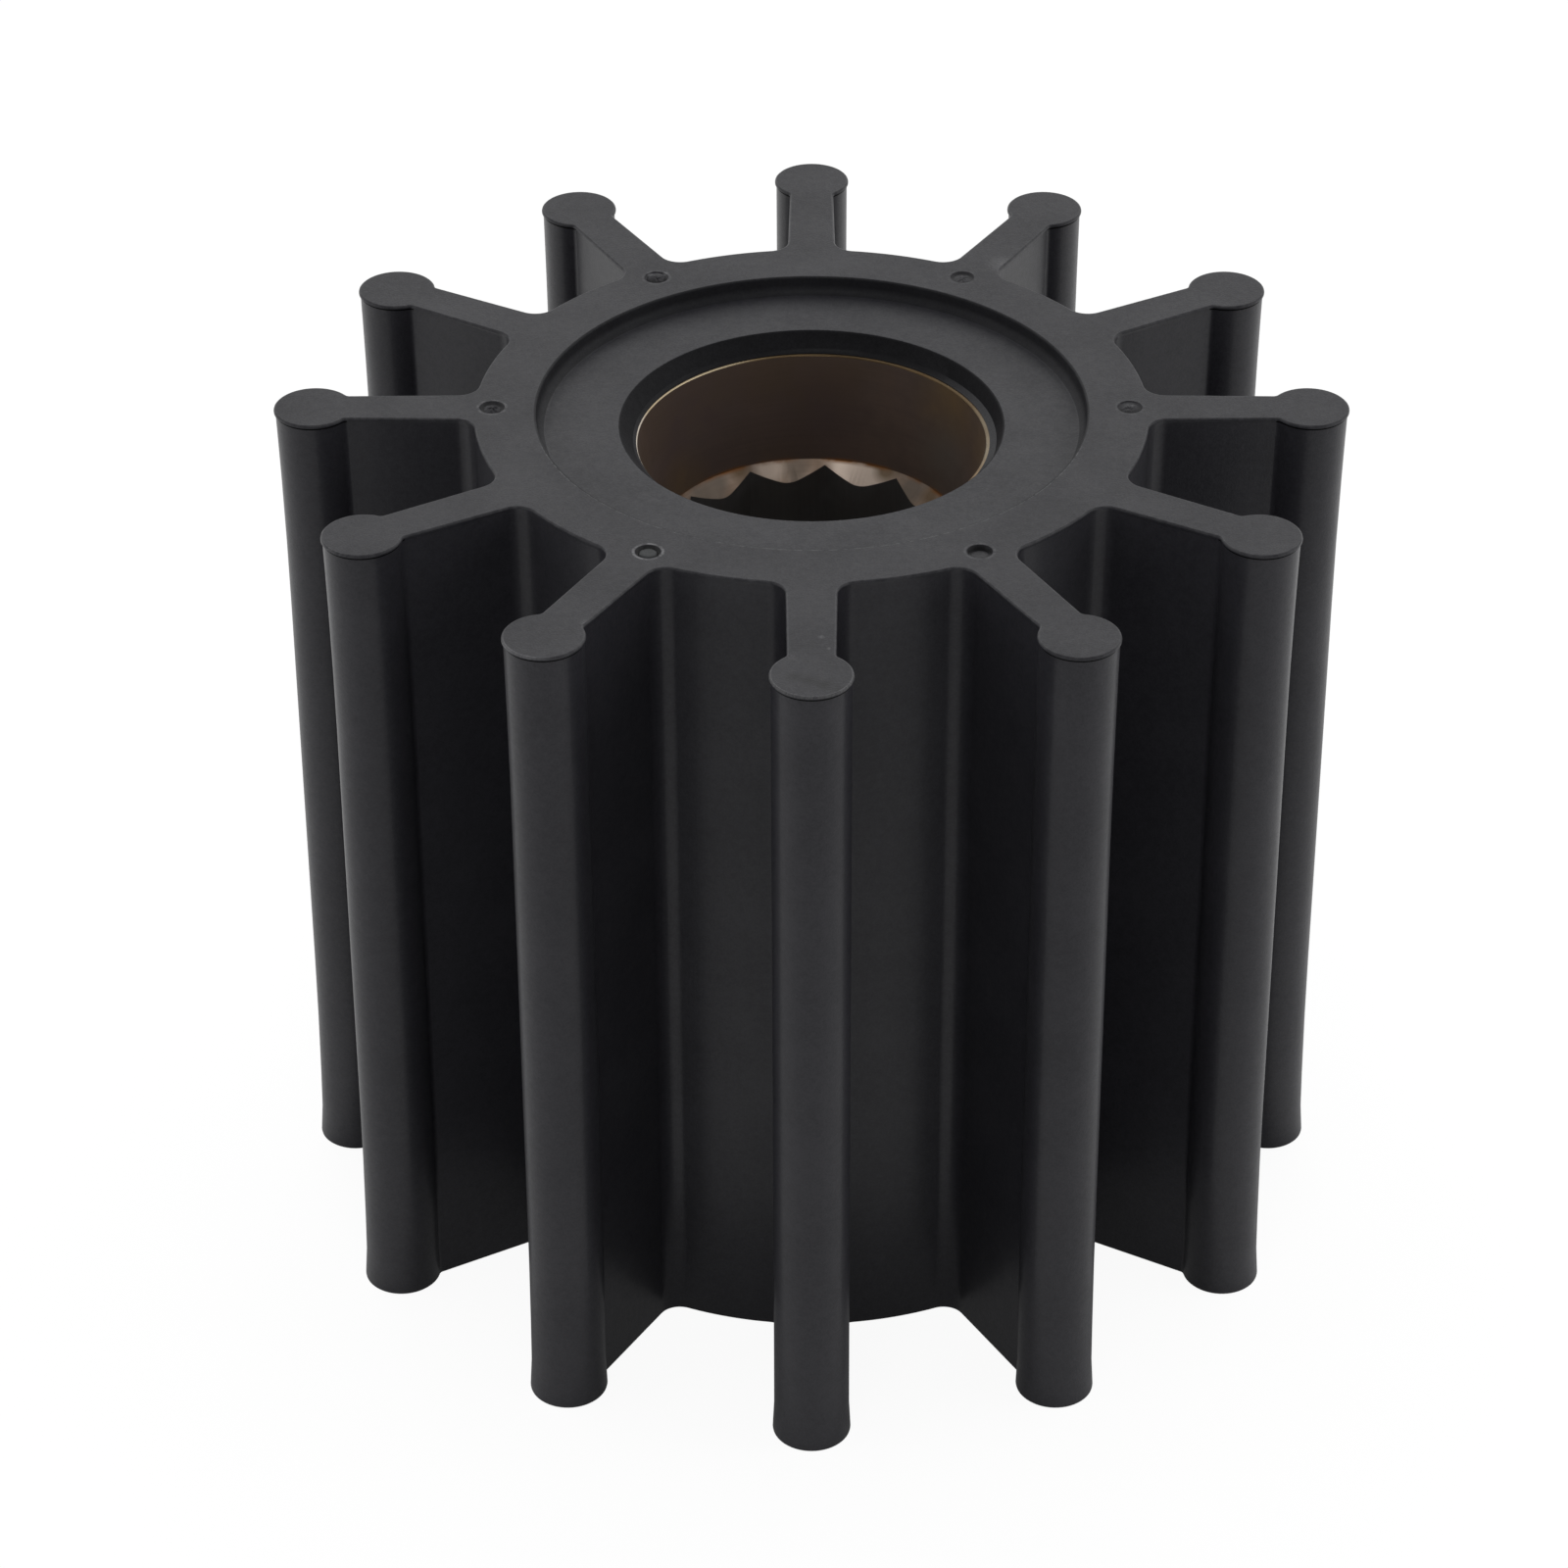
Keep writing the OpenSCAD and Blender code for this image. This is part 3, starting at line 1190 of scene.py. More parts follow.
    def _end_plate(self, name: str, height: float, marked: bool) -> bpy.types.Object:
        """The whole flat end face, open at the recess.

        Args:
            name: The name of the new object.
            height: Where the end face lies.
            marked: Leaves a gate mark open at every second vane.

        Returns:
            The new object, in edit mode.
        """
        pitch = TURN / self.vanes
        sectors = []
        for odd in (False, True):
            sectors.append(self._half_sector(f"{name}_{odd:d}", height, marked and not odd))
            copy_mirrored((1, -1, 1), SHAFT)
            if odd:
                copy_turned(1, pitch)
                bpy.ops.mesh.select_all(action="INVERT")
                bpy.ops.mesh.delete(type="VERT")
            copy_turned(self.vanes // 2 - 1, 2 * pitch)
        plate = join(sectors, name)
        edit(plate)
        weld()
        return plate

    def _outside(self, edge: bmesh.types.BMEdge) -> bool:
        """Tells whether an edge lies outside the hub or on it."""
        return all(vert.co.xy.length > self.hub_r - SLACK for vert in edge.verts)

    def _draw_walls(self, plate: bpy.types.Object) -> None:
        """Draws the outline of the upper end face down to the lower one.

        Args:
            plate: The upper end face.
        """
        pick_edges(plate, lambda edge: edge.is_boundary and self._outside(edge))
        at, shrunk = self.width, 1.0
        for height in self._wall_heights():
            drop = (0, 0, height - at)
            bpy.ops.mesh.extrude_edges_move(TRANSFORM_OT_translate={"value": drop})
            wanted = 1 - self.waist / self.tip_r * self._waist_share(height)
            step = wanted / shrunk
            bpy.ops.transform.resize(value=(step, step, 1), center_override=(0, 0, height))
            at, shrunk = height, wanted

    def _wall_heights(self) -> list[float]:
        """Heights of the wall's lines, from the upper end down to the lower one.

        Returns:
            The heights, close together at the lip and the ends.
        """
        near, far, steps = 3 * MM, 7 * MM, 10
        lip = [self.lip_height + self.crease_height * share for share in (0, 0.5, 1)]
        upper = [self.width - depth for depth in (*lip, near, far)]
        reach = self.width - 2 * far
        middle = [self.width - far - reach * i / steps for i in range(1, steps)]
        return upper + middle + [far, near, 0.0]

    def _waist_share(self, height: float) -> float:
        """How far the vanes are drawn in at a height by the shrinkage of the rubber, 0 to 1."""
        near_end = min(height, self.width - height) / self.waist_run
        return 1.0 if near_end > 1 else 1 - (1 - near_end) ** 2

    def _leave_lips(self, piece: bpy.types.Object) -> None:
        """Draws the walls in below the thin lip and crease that the upper, trimmed end keeps.

        Args:
            piece: The joined body, in edit mode.
        """
        below_lip = self.lip_height + TOUCH
        crease = self.lip_height + 0.5 * self.crease_height
        foot = self.width - 1 * MM
        beads = self.tip_r - 2 * self.bead_r
        sunk = (
            (self.hub_r - 0.5 * MM, below_lip, foot, self.lip_proud),
            (beads, below_lip, foot, self.bead_lip_proud),
            (beads, crease - TOUCH, crease + TOUCH, self.crease_depth),
        )
        for least, low, high, depth in sunk:
            self._draw_in(piece, least, low, high, depth)

    def _draw_in(
        self, piece: bpy.types.Object, least: float, low: float, high: float, depth: float
    ) -> None:
        """Draws in the part of the walls between two depths below the upper end.

        Args:
            piece: The joined body, in edit mode.
            least: Radius past which it is drawn in.
            low: Depth below the upper end where the part starts.
            high: Depth where it ends.
            depth: How far it is drawn in.
        """
        pick_points(
            piece, lambda place: place.xy.length > least and low < self.width - place.z <= high
        )
        bpy.ops.transform.shrink_fatten(value=-depth)

    def _mouth(self) -> bpy.types.Object:
        """Recess, lip, cone and ledge of both ends, and the pocket that the insert fills.

        The cone's foot and the ledge lie a little to one side, as the moulding flash left them.

        Returns:
            The new object.
        """
        top, floor = self.width, self.width - self.recess_depth
        insert_top = top - self.setback
        ledge = insert_top + self.ledge_t
        side = Vector((0, -1, 0))
        rim_centre = Vector((self.recess_r + self.rim_round, 0, top - self.rim_round))
        foot_centre = Vector((self.recess_r - self.recess_fillet, 0, floor + self.recess_fillet))
        slope = math.atan2(floor - ledge, self.mouth_lip_r - self.mouth_foot_r)
        lip = self.mouth_lip_r + self.lip_round * math.tan(slope / 2)
        pen = Pen("mouth", rim_centre + UP * self.rim_round)
        pen.arc(rim_centre, math.pi / 2, steps=4, axis=side)
        pen.section((self.recess_r, foot_centre.z))
        pen.arc(foot_centre, -math.pi / 2, steps=8, axis=side)
        pen.section((lip, floor))
        pen.arc(Vector((lip, 0, floor - self.lip_round)), slope, steps=6, axis=side)
        pen.section(
            (self.mouth_foot_r, ledge),
            (self.ledge_r, insert_top + self.ledge_foot),
            (self.ledge_r, insert_top),
            (self.insert_r, insert_top),
            (self.insert_r, top / 2),
        )
        copy_mirrored((1, 1, -1), (0, 0, top / 2))
        weld()
        revolve(2 * self.vanes * self.rim_steps)
        circles = ((self.mouth_foot_r, self.mouth_shift), (self.ledge_r, self.ledge_shift))
        for radius, shift in circles:
            pick_points(pen.piece, lambda place: abs(place.xy.length - radius) < TOUCH)
            bpy.ops.transform.translate(value=(shift, 0, 0))
        return pen.piece

    def _gate_mark(self, mark: GateMark) -> bpy.types.Object:
        """Ring groove round a torn centre, where the rubber was fed into the mould.

        Args:
            mark: Where the mark stands and how it was torn.

        Returns:
            The new object, which closes one hole of the upper end face.
        """
        turn = math.radians(mark.angle)
        centre = polar(self.gate_r, turn, self.width)
        outwards = polar(self.dimple_r, turn)
        trough = 0.78
        wall = ((0.95, 0.4 * mark.groove), (0.86, 0.9 * mark.groove), (trough, mark.groove))
        torn = [(share, mark.depth(share / trough)) for share in (0.70, 0.60, 0.40, 0.20, 0)]
        pen = Pen("gate_mark", centre + outwards)
        pen.line(*(centre + outwards * share - UP * depth for share, depth in (*wall, *torn)))
        revolve(2 * self.dimple_steps, centre)
        lean = math.radians(mark.lean)
        foot = centre - UP * mark.sink
        pick_points(pen.piece, lambda place: (place - centre).xy.length < self.leaning_r)
        bpy.ops.transform.rotate(value=lean, orient_axis="X", center_override=foot)
        pick_points(pen.piece, lambda place: (place - centre).xy.length < self.torn_r)
        bpy.ops.transform.vertex_random(offset=mark.tear, uniform=0.6, normal=0.0, seed=mark.seed)
        self._flatten(pen.piece, centre)
        return pen.piece

    def _flatten(self, piece: bpy.types.Object, centre: Vector) -> None:
        """Presses a torn centre down to just below the end face.

        Args:
            piece: The gate mark, in edit mode.
            centre: The middle of the mark, on the end face.
        """
        reach, most = self.leaning_r, self.width - self.torn_cap
        pick_points(piece, lambda place: (place - centre).xy.length < reach and place.z > most)
        bpy.ops.transform.resize(value=(1, 1, 0), center_override=(*centre.xy, most))

    def _set_marks(self, piece: bpy.types.Object) -> None:
        """Moves each gate mark to where it really stands, a little off its place.

        Args:
            piece: The joined body, in edit mode.
        """
        reach = self.dimple_r + SLACK
        for mark in self.marks:
            centre = polar(self.gate_r, math.radians(mark.angle), self.width)
            pick_points(piece, lambda place: (place - centre).length < reach)
            bpy.ops.transform.translate(value=(*mark.shift, 0))

    def _round_edges(self, piece: bpy.types.Object) -> None:
        """Rounds the outline of both end faces.

        Args:
            piece: The joined body.
        """
        for height in (self.width, 0.0):
            pick_edges(piece, lambda edge: self._on_outline(edge, height))
            bpy.ops.mesh.bevel(offset=self.edge_round, segments=3, affect="EDGES", clamp_overlap=True)

    def _on_outline(self, edge: bmesh.types.BMEdge, height: float) -> bool:
        """Tells whether an edge belongs to the outline of the end face at a height."""
        level = all(abs(vert.co.z - height) < TOUCH for vert in edge.verts)
        return level and self._outside(edge) and edge.calc_face_angle(0) > CORNER

    def _finishes(self) -> dict[Skin, RubberFinish]:
        """The finish of each kind of surface.

        Returns:
            The finishes, in the order of the piece's materials.
        """
        top = self.width
        ring = Band(middle=self.recess_r + 0.5 * self.rim_round, half=0.03 * MM, fade=0.10 * MM)
        flat = {
            "dark": (0.0270, 0.0265, 0.0330),
            "pale": (0.0522, 0.0515, 0.0597),
            "grain_depth": 0.028 * MM,
        }
        return {
            Skin.SIDE: RubberFinish(
                "rubber_moulded_sides", ior=1.4, coat=0.18, streak=Streak.UPRIGHT
            ),
            Skin.END_FACE: RubberFinish(
                "rubber_end_faces",
                **flat,
                roughness=0.52,
                # Painted highlight along the front of the rim round the recess.
                painted_highlight_rings=(replace(ring, middle=self.recess_r + self.rim_round),),
                gates=tuple((mark.centre(self.gate_r, top), mark) for mark in self.marks),
                markings=spots(
                    top,
                    (17.9, 26.8, 0.4, 1.5, 0.35, Tint.RUBBED, 1.0, 0.15),
                    (-18.6, -36.1, 0.15, 0.4, 0.7, Tint.CHALK_AND_GLINT, 0.8),
                    (0.8, -38.3, 0.05, 0.3, 0.7, Tint.CHALK_AND_GLINT, 0.5),
                    (1.4, -40.1, 0.05, 0.2, 0.6, Tint.CHALK_AND_GLINT, 0.5),
                    (-1.6, -41.4, 0.1, 0.5, 0.3),
                    (27.8, 0.45, 0.05, 0.25, 0.7, Tint.CHALK_AND_GLINT, 0.5),
                    (28.3, 0.4, 0.05, 0.20, 0.7, Tint.CHALK_AND_GLINT, 0.5),
                    # Painted highlights: two glints on the gate mark at 120 degrees.
                    (-14.9, 24.9, 0.10, 0.25, 0.9, Tint.CHALK_AND_GLINT, 0.3),
                    (-13.5, 25.0, 0.10, 0.25, 0.9, Tint.CHALK_AND_GLINT, 0.3),
                    (-1.4, -44.4, 0.1, 0.9, 0.7, Tint.SMEAR, 0.1),
                    (-0.2, -45.0, 0.1, 0.9, 0.8, Tint.SMEAR, 0.1),
                    (1.0, -45.6, 0.1, 0.9, 0.8, Tint.SMEAR, 0.1),
                    (2.2, -46.3, 0.1, 0.8, 0.5, Tint.SMEAR, 0.1),
                ),
            ),
            Skin.RECESS_FLOOR: RubberFinish(
                "rubber_recess_floor",
                **flat,
                roughness=0.5,
                # Painted highlight along the front, just inside the rim round the recess.
                painted_highlight_rings=(ring,),
            ),
            # Painted shade: the walls of the recess are darker than its floor.
            Skin.RECESS_WALL: RubberFinish(
                "rubber_recess_walls_painted_shade",
                dark=(0.0275, 0.0275, 0.0308),
                pale=(0.0395, 0.0395, 0.0440),
                roughness=0.5,
                ior=1.26,
            ),
            Skin.TRIMMED_EDGE: RubberFinish(
                "rubber_trimmed_edges",
                roughness=0.42,
                worn_share=0.16,
                markings=spots(
                    top,
                    (-24.4, -40.9, 1.8, 1.6, 1.0, Tint.CHALK_AND_GLINT, 0.4),
                    (0.0, -45.0, 3.2, 1.2, 0.9, Tint.RUBBED, 0.6),
                    (-41.2, -25.0, 0.8, 1.8, 0.5),
                ),
            ),
            # Painted shade: the crease under the lip is nearly black, on top of the shade of its real
            # groove.
            Skin.CREASE: RubberFinish(
                "rubber_crease_painted_shade",
                dark=(0.0030, 0.0030, 0.0034),
                pale=(0.0060, 0.0060, 0.0066),
                roughness=0.7,
                ior=1.2,
                streak=Streak.UPRIGHT,
            ),
            # Painted shade: the mouth cone is much darker than the other rubber, and painted sheen
            # lightens it at its left and right.
            Skin.CONE: RubberFinish(
                "rubber_mouth_cone_painted_shade",
                dark=(0.0160, 0.0160, 0.0182),
                pale=(0.0245, 0.0245, 0.0276),
                roughness=0.5,
                ior=1.2,
                markings=stains_and_painted_light(
                    top,
                    (16.2, 202, 2.3, 0.2, 6, 0.6, Tint.PAINTED_SHEEN, 0.2),
                    (16.7, -12, 2.3, 0.2, 6, 0.6, Tint.PAINTED_SHEEN, 0.2),
                ),
            ),
            # Painted shade: the ledge is darker still, and painted sheen lightens it at its left and
            # right.
            Skin.LEDGE: RubberFinish(
                "rubber_mouth_ledge_painted_shade",
                dark=(0.0110, 0.0108, 0.0130),
                pale=(0.0165, 0.0162, 0.0190),
                ior=1.3,
                markings=stains_and_painted_light(
                    top,
                    (16.0, 8, 3.1, 5, 6, 0.9, Tint.PAINTED_SHEEN, 0.2),
                    (16.0, 195, 3.1, 4, 4, 0.8, Tint.PAINTED_SHEEN, 0.2),
                ),
            ),
        }

    def _skin_at(self, place: Vector, lift: float) -> Skin:
        """Tells which kind of surface a face belongs to.

        Args:
            place: The middle of the face.
            lift: How level it lies, from 0 to 1.

        Returns:
            The kind of surface.
        """
        radius, depth = place.xy.length, self.width - place.z
        marks = (mark.centre(self.gate_r, self.width) for mark in self.marks)
        if (place.xy - Vector((self.mouth_shift, 0))).length < self.mouth_foot_r:
            return Skin.LEDGE
        if radius < self.mouth_lip_r + self.lip_round:
            return Skin.CONE if lift < NEARLY_FLAT else Skin.RECESS_FLOOR
        if radius < self.recess_r + self.rim_round:
            return Skin.RECESS_FLOOR if lift > FLAT else Skin.RECESS_WALL
        if lift > FLAT or any((place - centre).length < self.dimple_r for centre in marks):
            return Skin.END_FACE
        if radius > self.hub_r - self.edge_round and min(place.z, depth) < self.edge_round:
            return Skin.TRIMMED_EDGE
        if radius > self.tip_r - 2 * self.bead_r and 0 < depth - self.lip_height < self.crease_height:
            return Skin.CREASE
        return Skin.END_FACE if lift > LEANING else Skin.SIDE

    def _dress(self, piece: bpy.types.Object) -> None:
        """Gives each kind of surface its own rubber finish and hangs the piece on the frame.

        Args:
            piece: The joined body.
        """
        cover(piece, self._finishes().values(), self._skin_at)
        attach(piece, "root")
        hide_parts("vaned_rubber_body")


# Metal insert


class Cut(IntEnum):
    """Surfaces of the insert, in the order of the piece's materials."""

    SEAT = 0
    RIM = 1
    TOOTH_END = 2
    TOOTH = 3


@dataclass
class SplinedInsert:
    """The bronze insert: a plain tube with a tapered seat at each end and an inner spline."""

    width: float = WIDTH
    setback: float = SETBACK
    outer_r: float = INSERT_R
    mouth_r: float = 15.4 * MM
    foot_r: float = 13.85 * MM
    seat_length: float = 10 * MM
    bevel: float = 0.3 * MM
    bevel_in: float = 0.04 * MM
    bevel_drop: float = 0.1 * MM
    teeth: int = 12
    root_r: float = 13.45 * MM
    tip_r: float = 12.3 * MM
    nose_r: float = 4.0 * MM
    lead_angle: float = math.radians(45)
    first_groove: float = math.radians(84.8)
    edge_round: float = 0.05 * MM
    edge_angle: float = math.radians(28)
    sliver: float = 0.001 * MM
    rust_half: float = 0.05 * MM
    rust_fade: float = 0.22 * MM
    ring_steps: int = 192

    def build(self) -> bpy.types.Object:
        """Models the insert and dresses it.

        Returns:
            The finished piece.
        """
        piece = self._tube()
        cutter = self._spline_cutter()
        apply_modifier(piece, "BOOLEAN", operation="DIFFERENCE", object=cutter, solver="EXACT")
        bpy.data.objects.remove(cutter)
        edit(piece)
        weld(self.sliver)
        folds = {"limit_method": "ANGLE", "angle_limit": self.edge_angle}
        apply_modifier(piece, "BEVEL", width=self.edge_round, segments=2, **folds)
        shade(piece, sharp_angle=30)
        self._dress(piece)
        return piece

    def _tube(self) -> bpy.types.Object:
        """Turned blank with both seats and lead-ins and a bore inside the spline's.

        Returns:
            The new object.
        """
        top, middle = self.width - self.setback, self.width / 2
        seat_foot = top - self.seat_length
        bore = self.tip_r - 1 * MM
        pen = Pen("splined_bronze_insert", Vector((self.outer_r, 0, middle)))
        pen.section(
            (self.outer_r, top),
            (self.mouth_r + self.bevel, top),
            (self.mouth_r + self.bevel_in, top - self.bevel_drop),
            (self.foot_r, seat_foot),
            (bore, seat_foot - (self.foot_r - bore) / math.tan(self.lead_angle)),
            (bore, middle),
        )
        copy_mirrored((1, 1, -1), (0, 0, middle))
        weld()
        revolve(self.ring_steps)
        point_outwards()
        return pen.piece

    def _spline_cutter(self) -> bpy.types.Object:
        """Prism with the outline of the splined hole, longer than the insert.

        Returns:
            The new object.
        """
        half, past = math.pi / self.teeth, 2 * MM
        nose = Vector((self.tip_r + self.nose_r, 0, -past))
        groove = polar(self.root_r, half, -past)
        way = groove - nose
        touch = math.atan2(way.y, way.x) + math.acos(self.nose_r / way.length)
        pen = Pen("spline_cutter", Vector((self.tip_r, 0, -past)))
        pen.arc_to(nose, touch, steps=10, clockwise=True)
        pen.line(groove)
        copy_mirrored((1, -1, 1), SHAFT)
        weld()
        copy_turned(self.teeth - 1, 2 * half)
        weld()
        fill()
        bpy.ops.mesh.select_all(action="SELECT")
        rise = (0, 0, self.width + 2 * past)
        bpy.ops.mesh.extrude_region_move(TRANSFORM_OT_translate={"value": rise})
        point_outwards()
        object_mode()
        pen.piece.data.transform(Matrix.Rotation(self.first_groove + half, 4, UP))
        return pen.piece

    def _finishes(self) -> dict[Cut, BronzeFinish]:
        """The finish of each kind of surface.

        Returns:
            The finishes, in the order of the piece's materials.
        """
        rim = self.width - self.setback
        rust = Band(rim - self.seat_length, self.rust_half, self.rust_fade)
        return {
            Cut.SEAT: BronzeFinish(
                "bronze_stained_seat",
                dark=(0.130, 0.094, 0.077),
                pale=(0.174, 0.123, 0.100),
                roughness=0.5,
                metallic=0.15,
                rust_line=rust,
                bloom=(0.15, 0.100, 0.062),
                stains_and_painted_light=stains_and_painted_light(
                    rim,
                    (14.9, 138, 4.2, 2, 7, 0.7, Tint.PLUM, 0.6),
                    (14.6, 88, 5.5, 1, 5, 0.6, Tint.PLUM, 0.6),
                    (15.3, 36, 1.2, 1, 4, 0.9, Tint.AMBER, 0.4),
                    (15.3, 5, 1.7, 1, 3, 0.6, Tint.AMBER, 0.4),
                    (14.0, 146, 9.3, 1, 3, 0.6, Tint.AMBER, 0.4),
                    (14.4, 32, 6.7, 1, 4, 0.8, Tint.ASH, 0.4),
                ),
            ),
            Cut.RIM: BronzeFinish(
                "bronze_rim_painted_light",
                dark=(0.26, 0.16, 0.07),
                pale=(0.62, 0.46, 0.26),
                roughness=0.32,
                metallic=0.8,
                rust_line=rust,
                bloom=(0.10, 0.055, 0.025),
                bloom_scale=70,
                # Painted highlight and painted shade along the rim: the pale patches near 138 and 182
                # degrees brighten it, and the darker ones near 0, 52, 88 and 222 degrees dim it.
                stains_and_painted_light=stains_and_painted_light(
                    rim,
                    (15.6, 138, 0, 5, 3, 0.9, Tint.GLEAM, 0.1),
                    (15.6, 182, 0, 4, 2, 0.8, Tint.PALE_GLEAM, 0.2),
                    (15.6, 222, 0, 5, 3, 0.9, Tint.PEWTER, 0.2),
                    (15.6, 52, 0, 8, 5, 0.9, Tint.UMBER, 0.3),
                    (15.6, 88, 0, 3, 4, 0.5, Tint.UMBER, 0.3),
                    (15.6, 0, 0, 3, 3, 0.8, Tint.CREAM, 0.2),
                ),
            ),
            Cut.TOOTH_END: BronzeFinish(
                "bronze_cut_tooth_ends",
                dark=(0.41, 0.29, 0.21),
                pale=(0.64, 0.48, 0.37),
                roughness=0.45,
                metallic=0.6,
                rust_line=rust,
                bloom=(0.30, 0.25, 0.21),
                bloom_share=0.4,
                bloom_scale=230,
                # Painted highlights and painted shade on the lead-in facets: the near-white patches near
                # 70 and 107 degrees are painted highlights, the grey ones near 46, 96 and 135 degrees
                # painted shade, and the amber ones a stain colour.
                stains_and_painted_light=stains_and_painted_light(
                    rim,
                    (13.5, 135, 10.3, 1.6, 1, 0.7, Tint.FACET_SHADE, 0.1),
                    (13.3, 96, 10.6, 0.6, 1.2, 0.7, Tint.FACET_SHADE, 0.2),
                    (13.5, 70, 10.5, 2.2, 1.5, 1.0, Tint.FACET_HIGHLIGHT, 0.1),
                    (13.5, 107, 10.5, 0.8, 1, 0.9, Tint.FACET_HIGHLIGHT, 0.1),
                    (13.7, 60, 10.1, 0.5, 1, 0.9, Tint.AMBER, 0.1),
                    (13.7, 119, 10.1, 0.4, 1, 0.8, Tint.AMBER, 0.1),
                    (13.2, 46, 10.7, 0.8, 1, 0.9, Tint.FACET_SHADE, 0.2),
                    (13.5, 36, 10.5, 0.4, 1, 0.8, Tint.AMBER, 0.1),
                ),
            ),
            # Painted shade: the teeth deep in the bore are a dull, nearly neutral grey, darker than the
            # cut bronze.
            Cut.TOOTH: BronzeFinish(
                "bronze_teeth_painted_shade",
                dark=(0.150, 0.147, 0.146),
                pale=(0.205, 0.198, 0.195),
                roughness=0.5,
                metallic=0.5,
                rust_line=rust,
                streak=Streak.UPRIGHT,
                mark_depth=0.006 * MM,
                bloom=(0.110, 0.100, 0.090),
            ),
        }

    def _cut_at(self, place: Vector, lift: float) -> Cut:
        """Tells which kind of surface a face belongs to.

        Args:
            place: The middle of the face.
            lift: How level it lies, from 0 to 1.

        Returns:
            The kind of surface.
        """
        depth = min(place.z, self.width - place.z) - self.setback
        if lift > STEEP and depth < 1.5 * self.bevel_drop:
            return Cut.RIM
        if depth < self.seat_length + 2 * TOUCH and lift < STEEP:
            return Cut.SEAT
        return Cut.TOOTH_END if lift > STEEP else Cut.TOOTH

    def _dress(self, piece: bpy.types.Object) -> None:
        """Gives the seats, the cut ends and the teeth their finishes.

        Args:
            piece: The insert.
        """
        cover(piece, self._finishes().values(), self._cut_at)
        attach(piece, "root")
        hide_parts("splined_insert")


# Stage


@dataclass(frozen=True)
class Lamp:
    """One soft, square lamp that is aimed at the object.

    Attributes:
        name: Its name.
        place: Where it stands.
        size: How wide it is.
        power: How strong it is, in watts.
    """

    name: str
    place: Vector
    size: float
    power: float


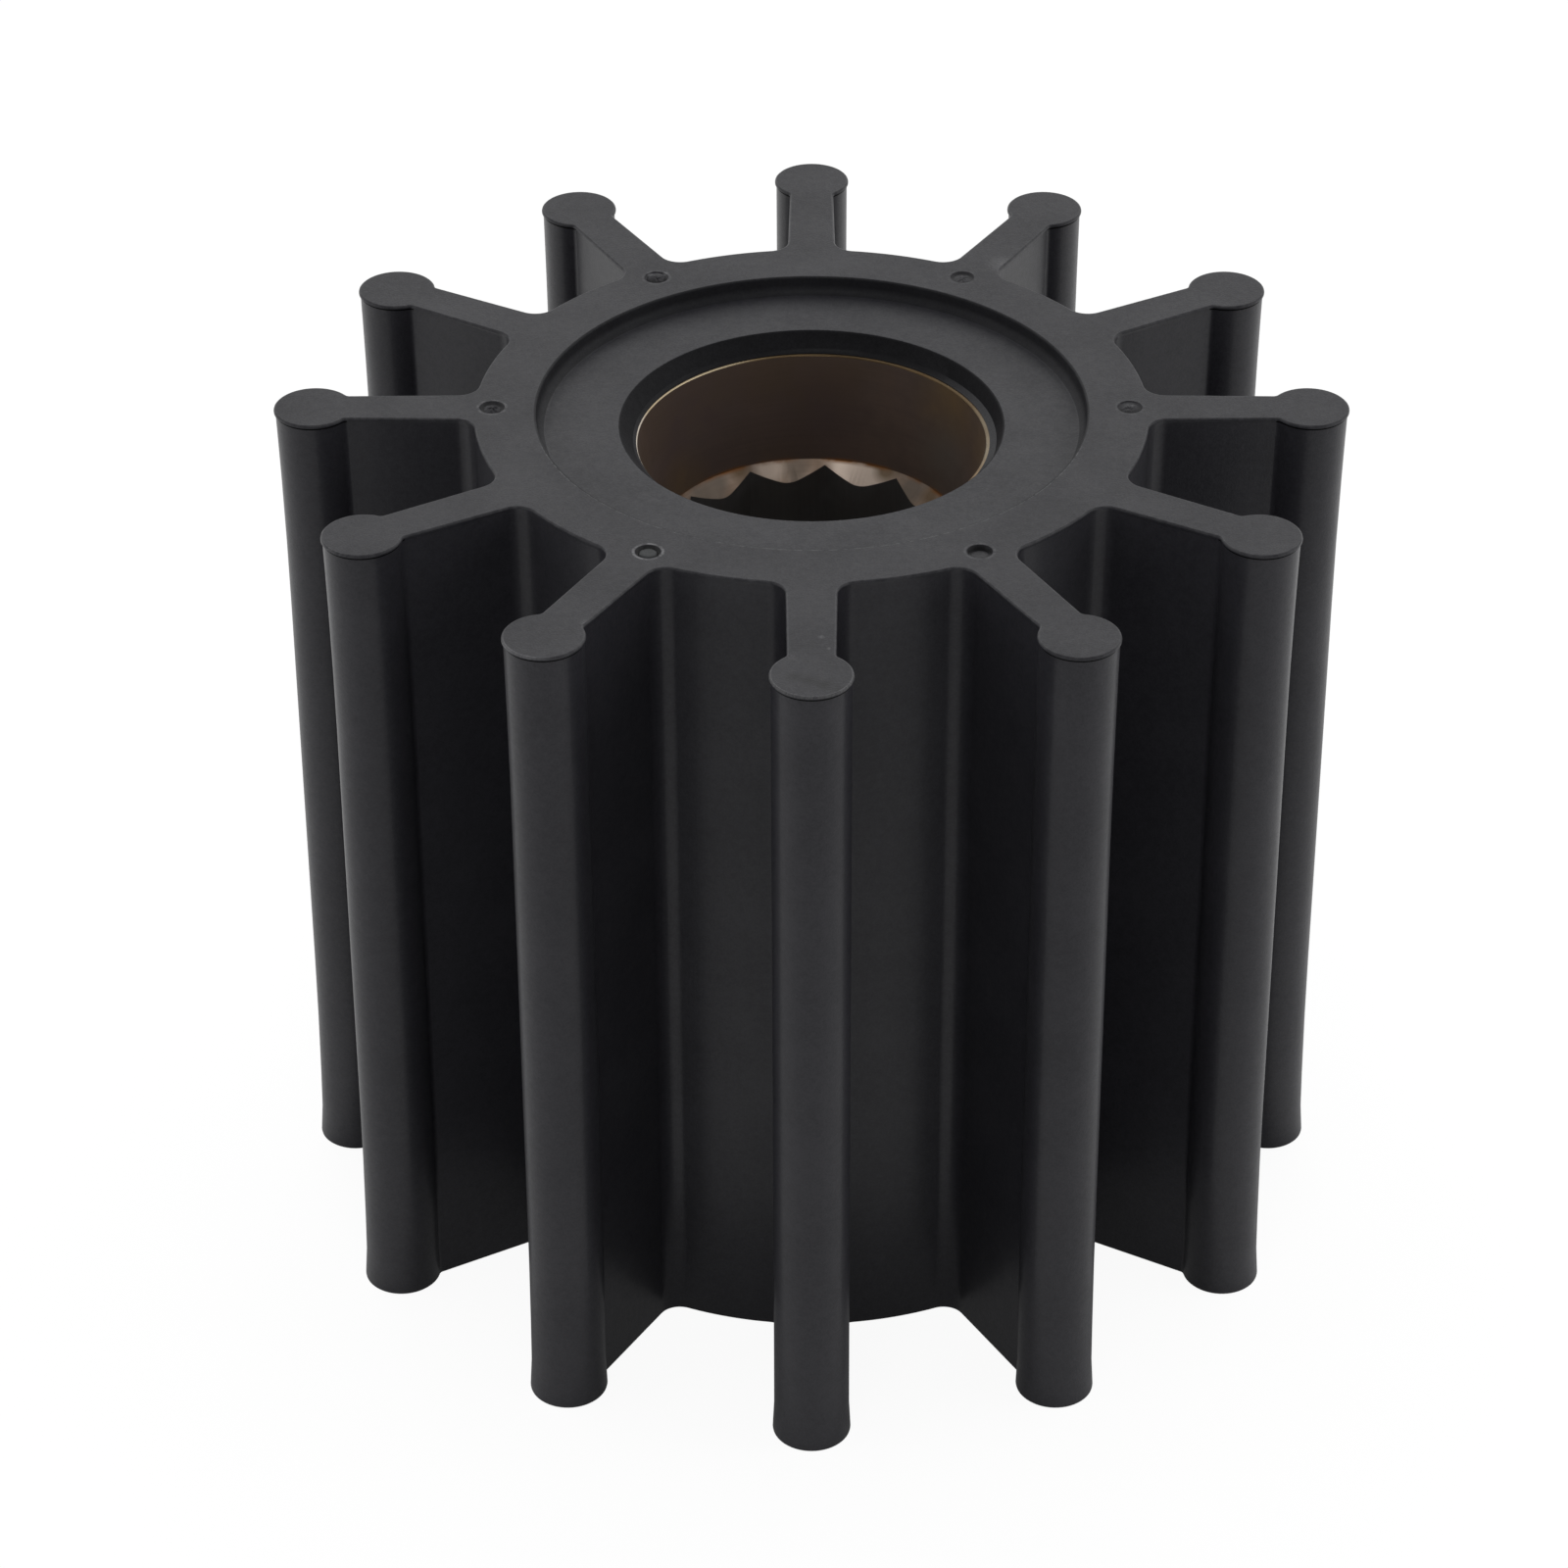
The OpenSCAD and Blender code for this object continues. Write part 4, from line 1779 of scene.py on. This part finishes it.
@dataclass
class Stage:
    """Floor, background, lamps and camera."""

    camera_place: Vector = Vector((0.0, -0.3917, 0.3010))
    look_down: float = math.radians(33.678)
    lens: float = 116.67
    shift_x: float = -0.0176
    clip_start: float = 0.01
    floor_size: float = 4.0
    floor_drop: float = 0.02 * MM
    dark_side: Vector = Vector((0.0, -0.65, 0.76))
    dark_fade: tuple[float, float, float, float] = (-0.2, 0.9, 1.0, 0.1)
    room: Colour = (0.8, 0.8, 0.8)
    seen: Colour = (1.0, 1.0, 1.0)
    lamp_aim: Vector = Vector((0, 0, 0.05))
    lamps: tuple[Lamp, ...] = (
        Lamp("rear_lamp", Vector((0.0, 0.36, 0.40)), size=0.4, power=0.19),
        Lamp("front_lamp", Vector((-0.05, -0.36, 0.72)), size=0.3, power=0.55),
        Lamp("left_lamp", Vector((-0.7, -0.2, 0.45)), size=0.4, power=0.22),
        Lamp("right_lamp", Vector((0.7, -0.1, 0.45)), size=0.4, power=0.45),
    )

    def build(self) -> None:
        """Sets up everything around the object."""
        self._camera()
        self._floor()
        self._world()
        self._lamps()
        bpy.context.scene.view_settings.view_transform = "Standard"

    def _camera(self) -> None:
        """Camera at the photograph's place, looking along +Y and down."""
        object_mode()
        bpy.ops.object.camera_add(location=self.camera_place)
        camera = bpy.context.object
        camera.rotation_euler = (math.pi / 2 - self.look_down, 0, 0)
        camera.data.lens = self.lens
        camera.data.shift_x = self.shift_x
        camera.data.clip_start = self.clip_start
        bpy.context.scene.camera = camera

    def _floor(self) -> None:
        """Pale floor under the object."""
        object_mode()
        bpy.ops.mesh.primitive_plane_add(size=self.floor_size, location=(0, 0, -self.floor_drop))
        floor = bpy.context.object
        floor.name = "studio_floor"
        floor.data.materials.append(FloorFinish().make())

    def _world(self) -> None:
        """White surroundings, with plain soft light from all but the camera's side."""
        world = bpy.data.worlds.new("studio")
        bpy.context.scene.world = world
        world.use_nodes = True
        sketch = Sketch(world.node_tree)
        rays = sketch.add("LightPath").outputs
        way = sketch.add("TexCoord").outputs["Generated"]
        towards = sketch.add("VectorMath", {0: way, 1: self.dark_side}, operation="DOT_PRODUCT")
        level = sketch.spread(towards.outputs["Value"], *self.dark_fade)
        room = sketch.add("Background", {"Color": self.room, "Strength": level}).outputs[0]
        white = sketch.add("Background", {"Color": self.seen}).outputs[0]
        seen = sketch.math("MAXIMUM", rays["Is Camera Ray"], rays["Is Transmission Ray"])
        sketch.add("OutputWorld", {"Surface": sketch.mix_shaders(seen, room, white)})

    def _lamps(self) -> None:
        """Large soft lamps: one behind, one high in front, one on each side."""
        for lamp in self.lamps:
            object_mode()
            bpy.ops.object.light_add(type="AREA", location=lamp.place)
            light = bpy.context.object
            light.name = lamp.name
            light.data.size = lamp.size
            light.data.energy = lamp.power
            way = self.lamp_aim - lamp.place
            light.rotation_euler = way.to_track_quat("-Z", "Y").to_euler()


# Assembly


def report(piece: bpy.types.Object) -> None:
    """Logs one finished piece, and whether its mesh is closed.

    Args:
        piece: The piece.
    """
    mesh = bmesh.new()
    mesh.from_mesh(piece.data)
    loose = sum(not edge.is_manifold for edge in mesh.edges)
    volume = mesh.calc_volume(signed=True) / MM**3
    log.info("%s: %d faces, %d open edges, %.0f mm3", piece.name, len(mesh.faces), loose, volume)
    mesh.free()


def main() -> None:
    """Builds the stage and the two pieces, in order."""
    logging.basicConfig(level=logging.INFO, format="%(name)s: %(message)s")
    Stage().build()
    report(VanedRubberBody().build())
    report(SplinedInsert().build())
    object_mode()


if __name__ == "__main__":
    main()
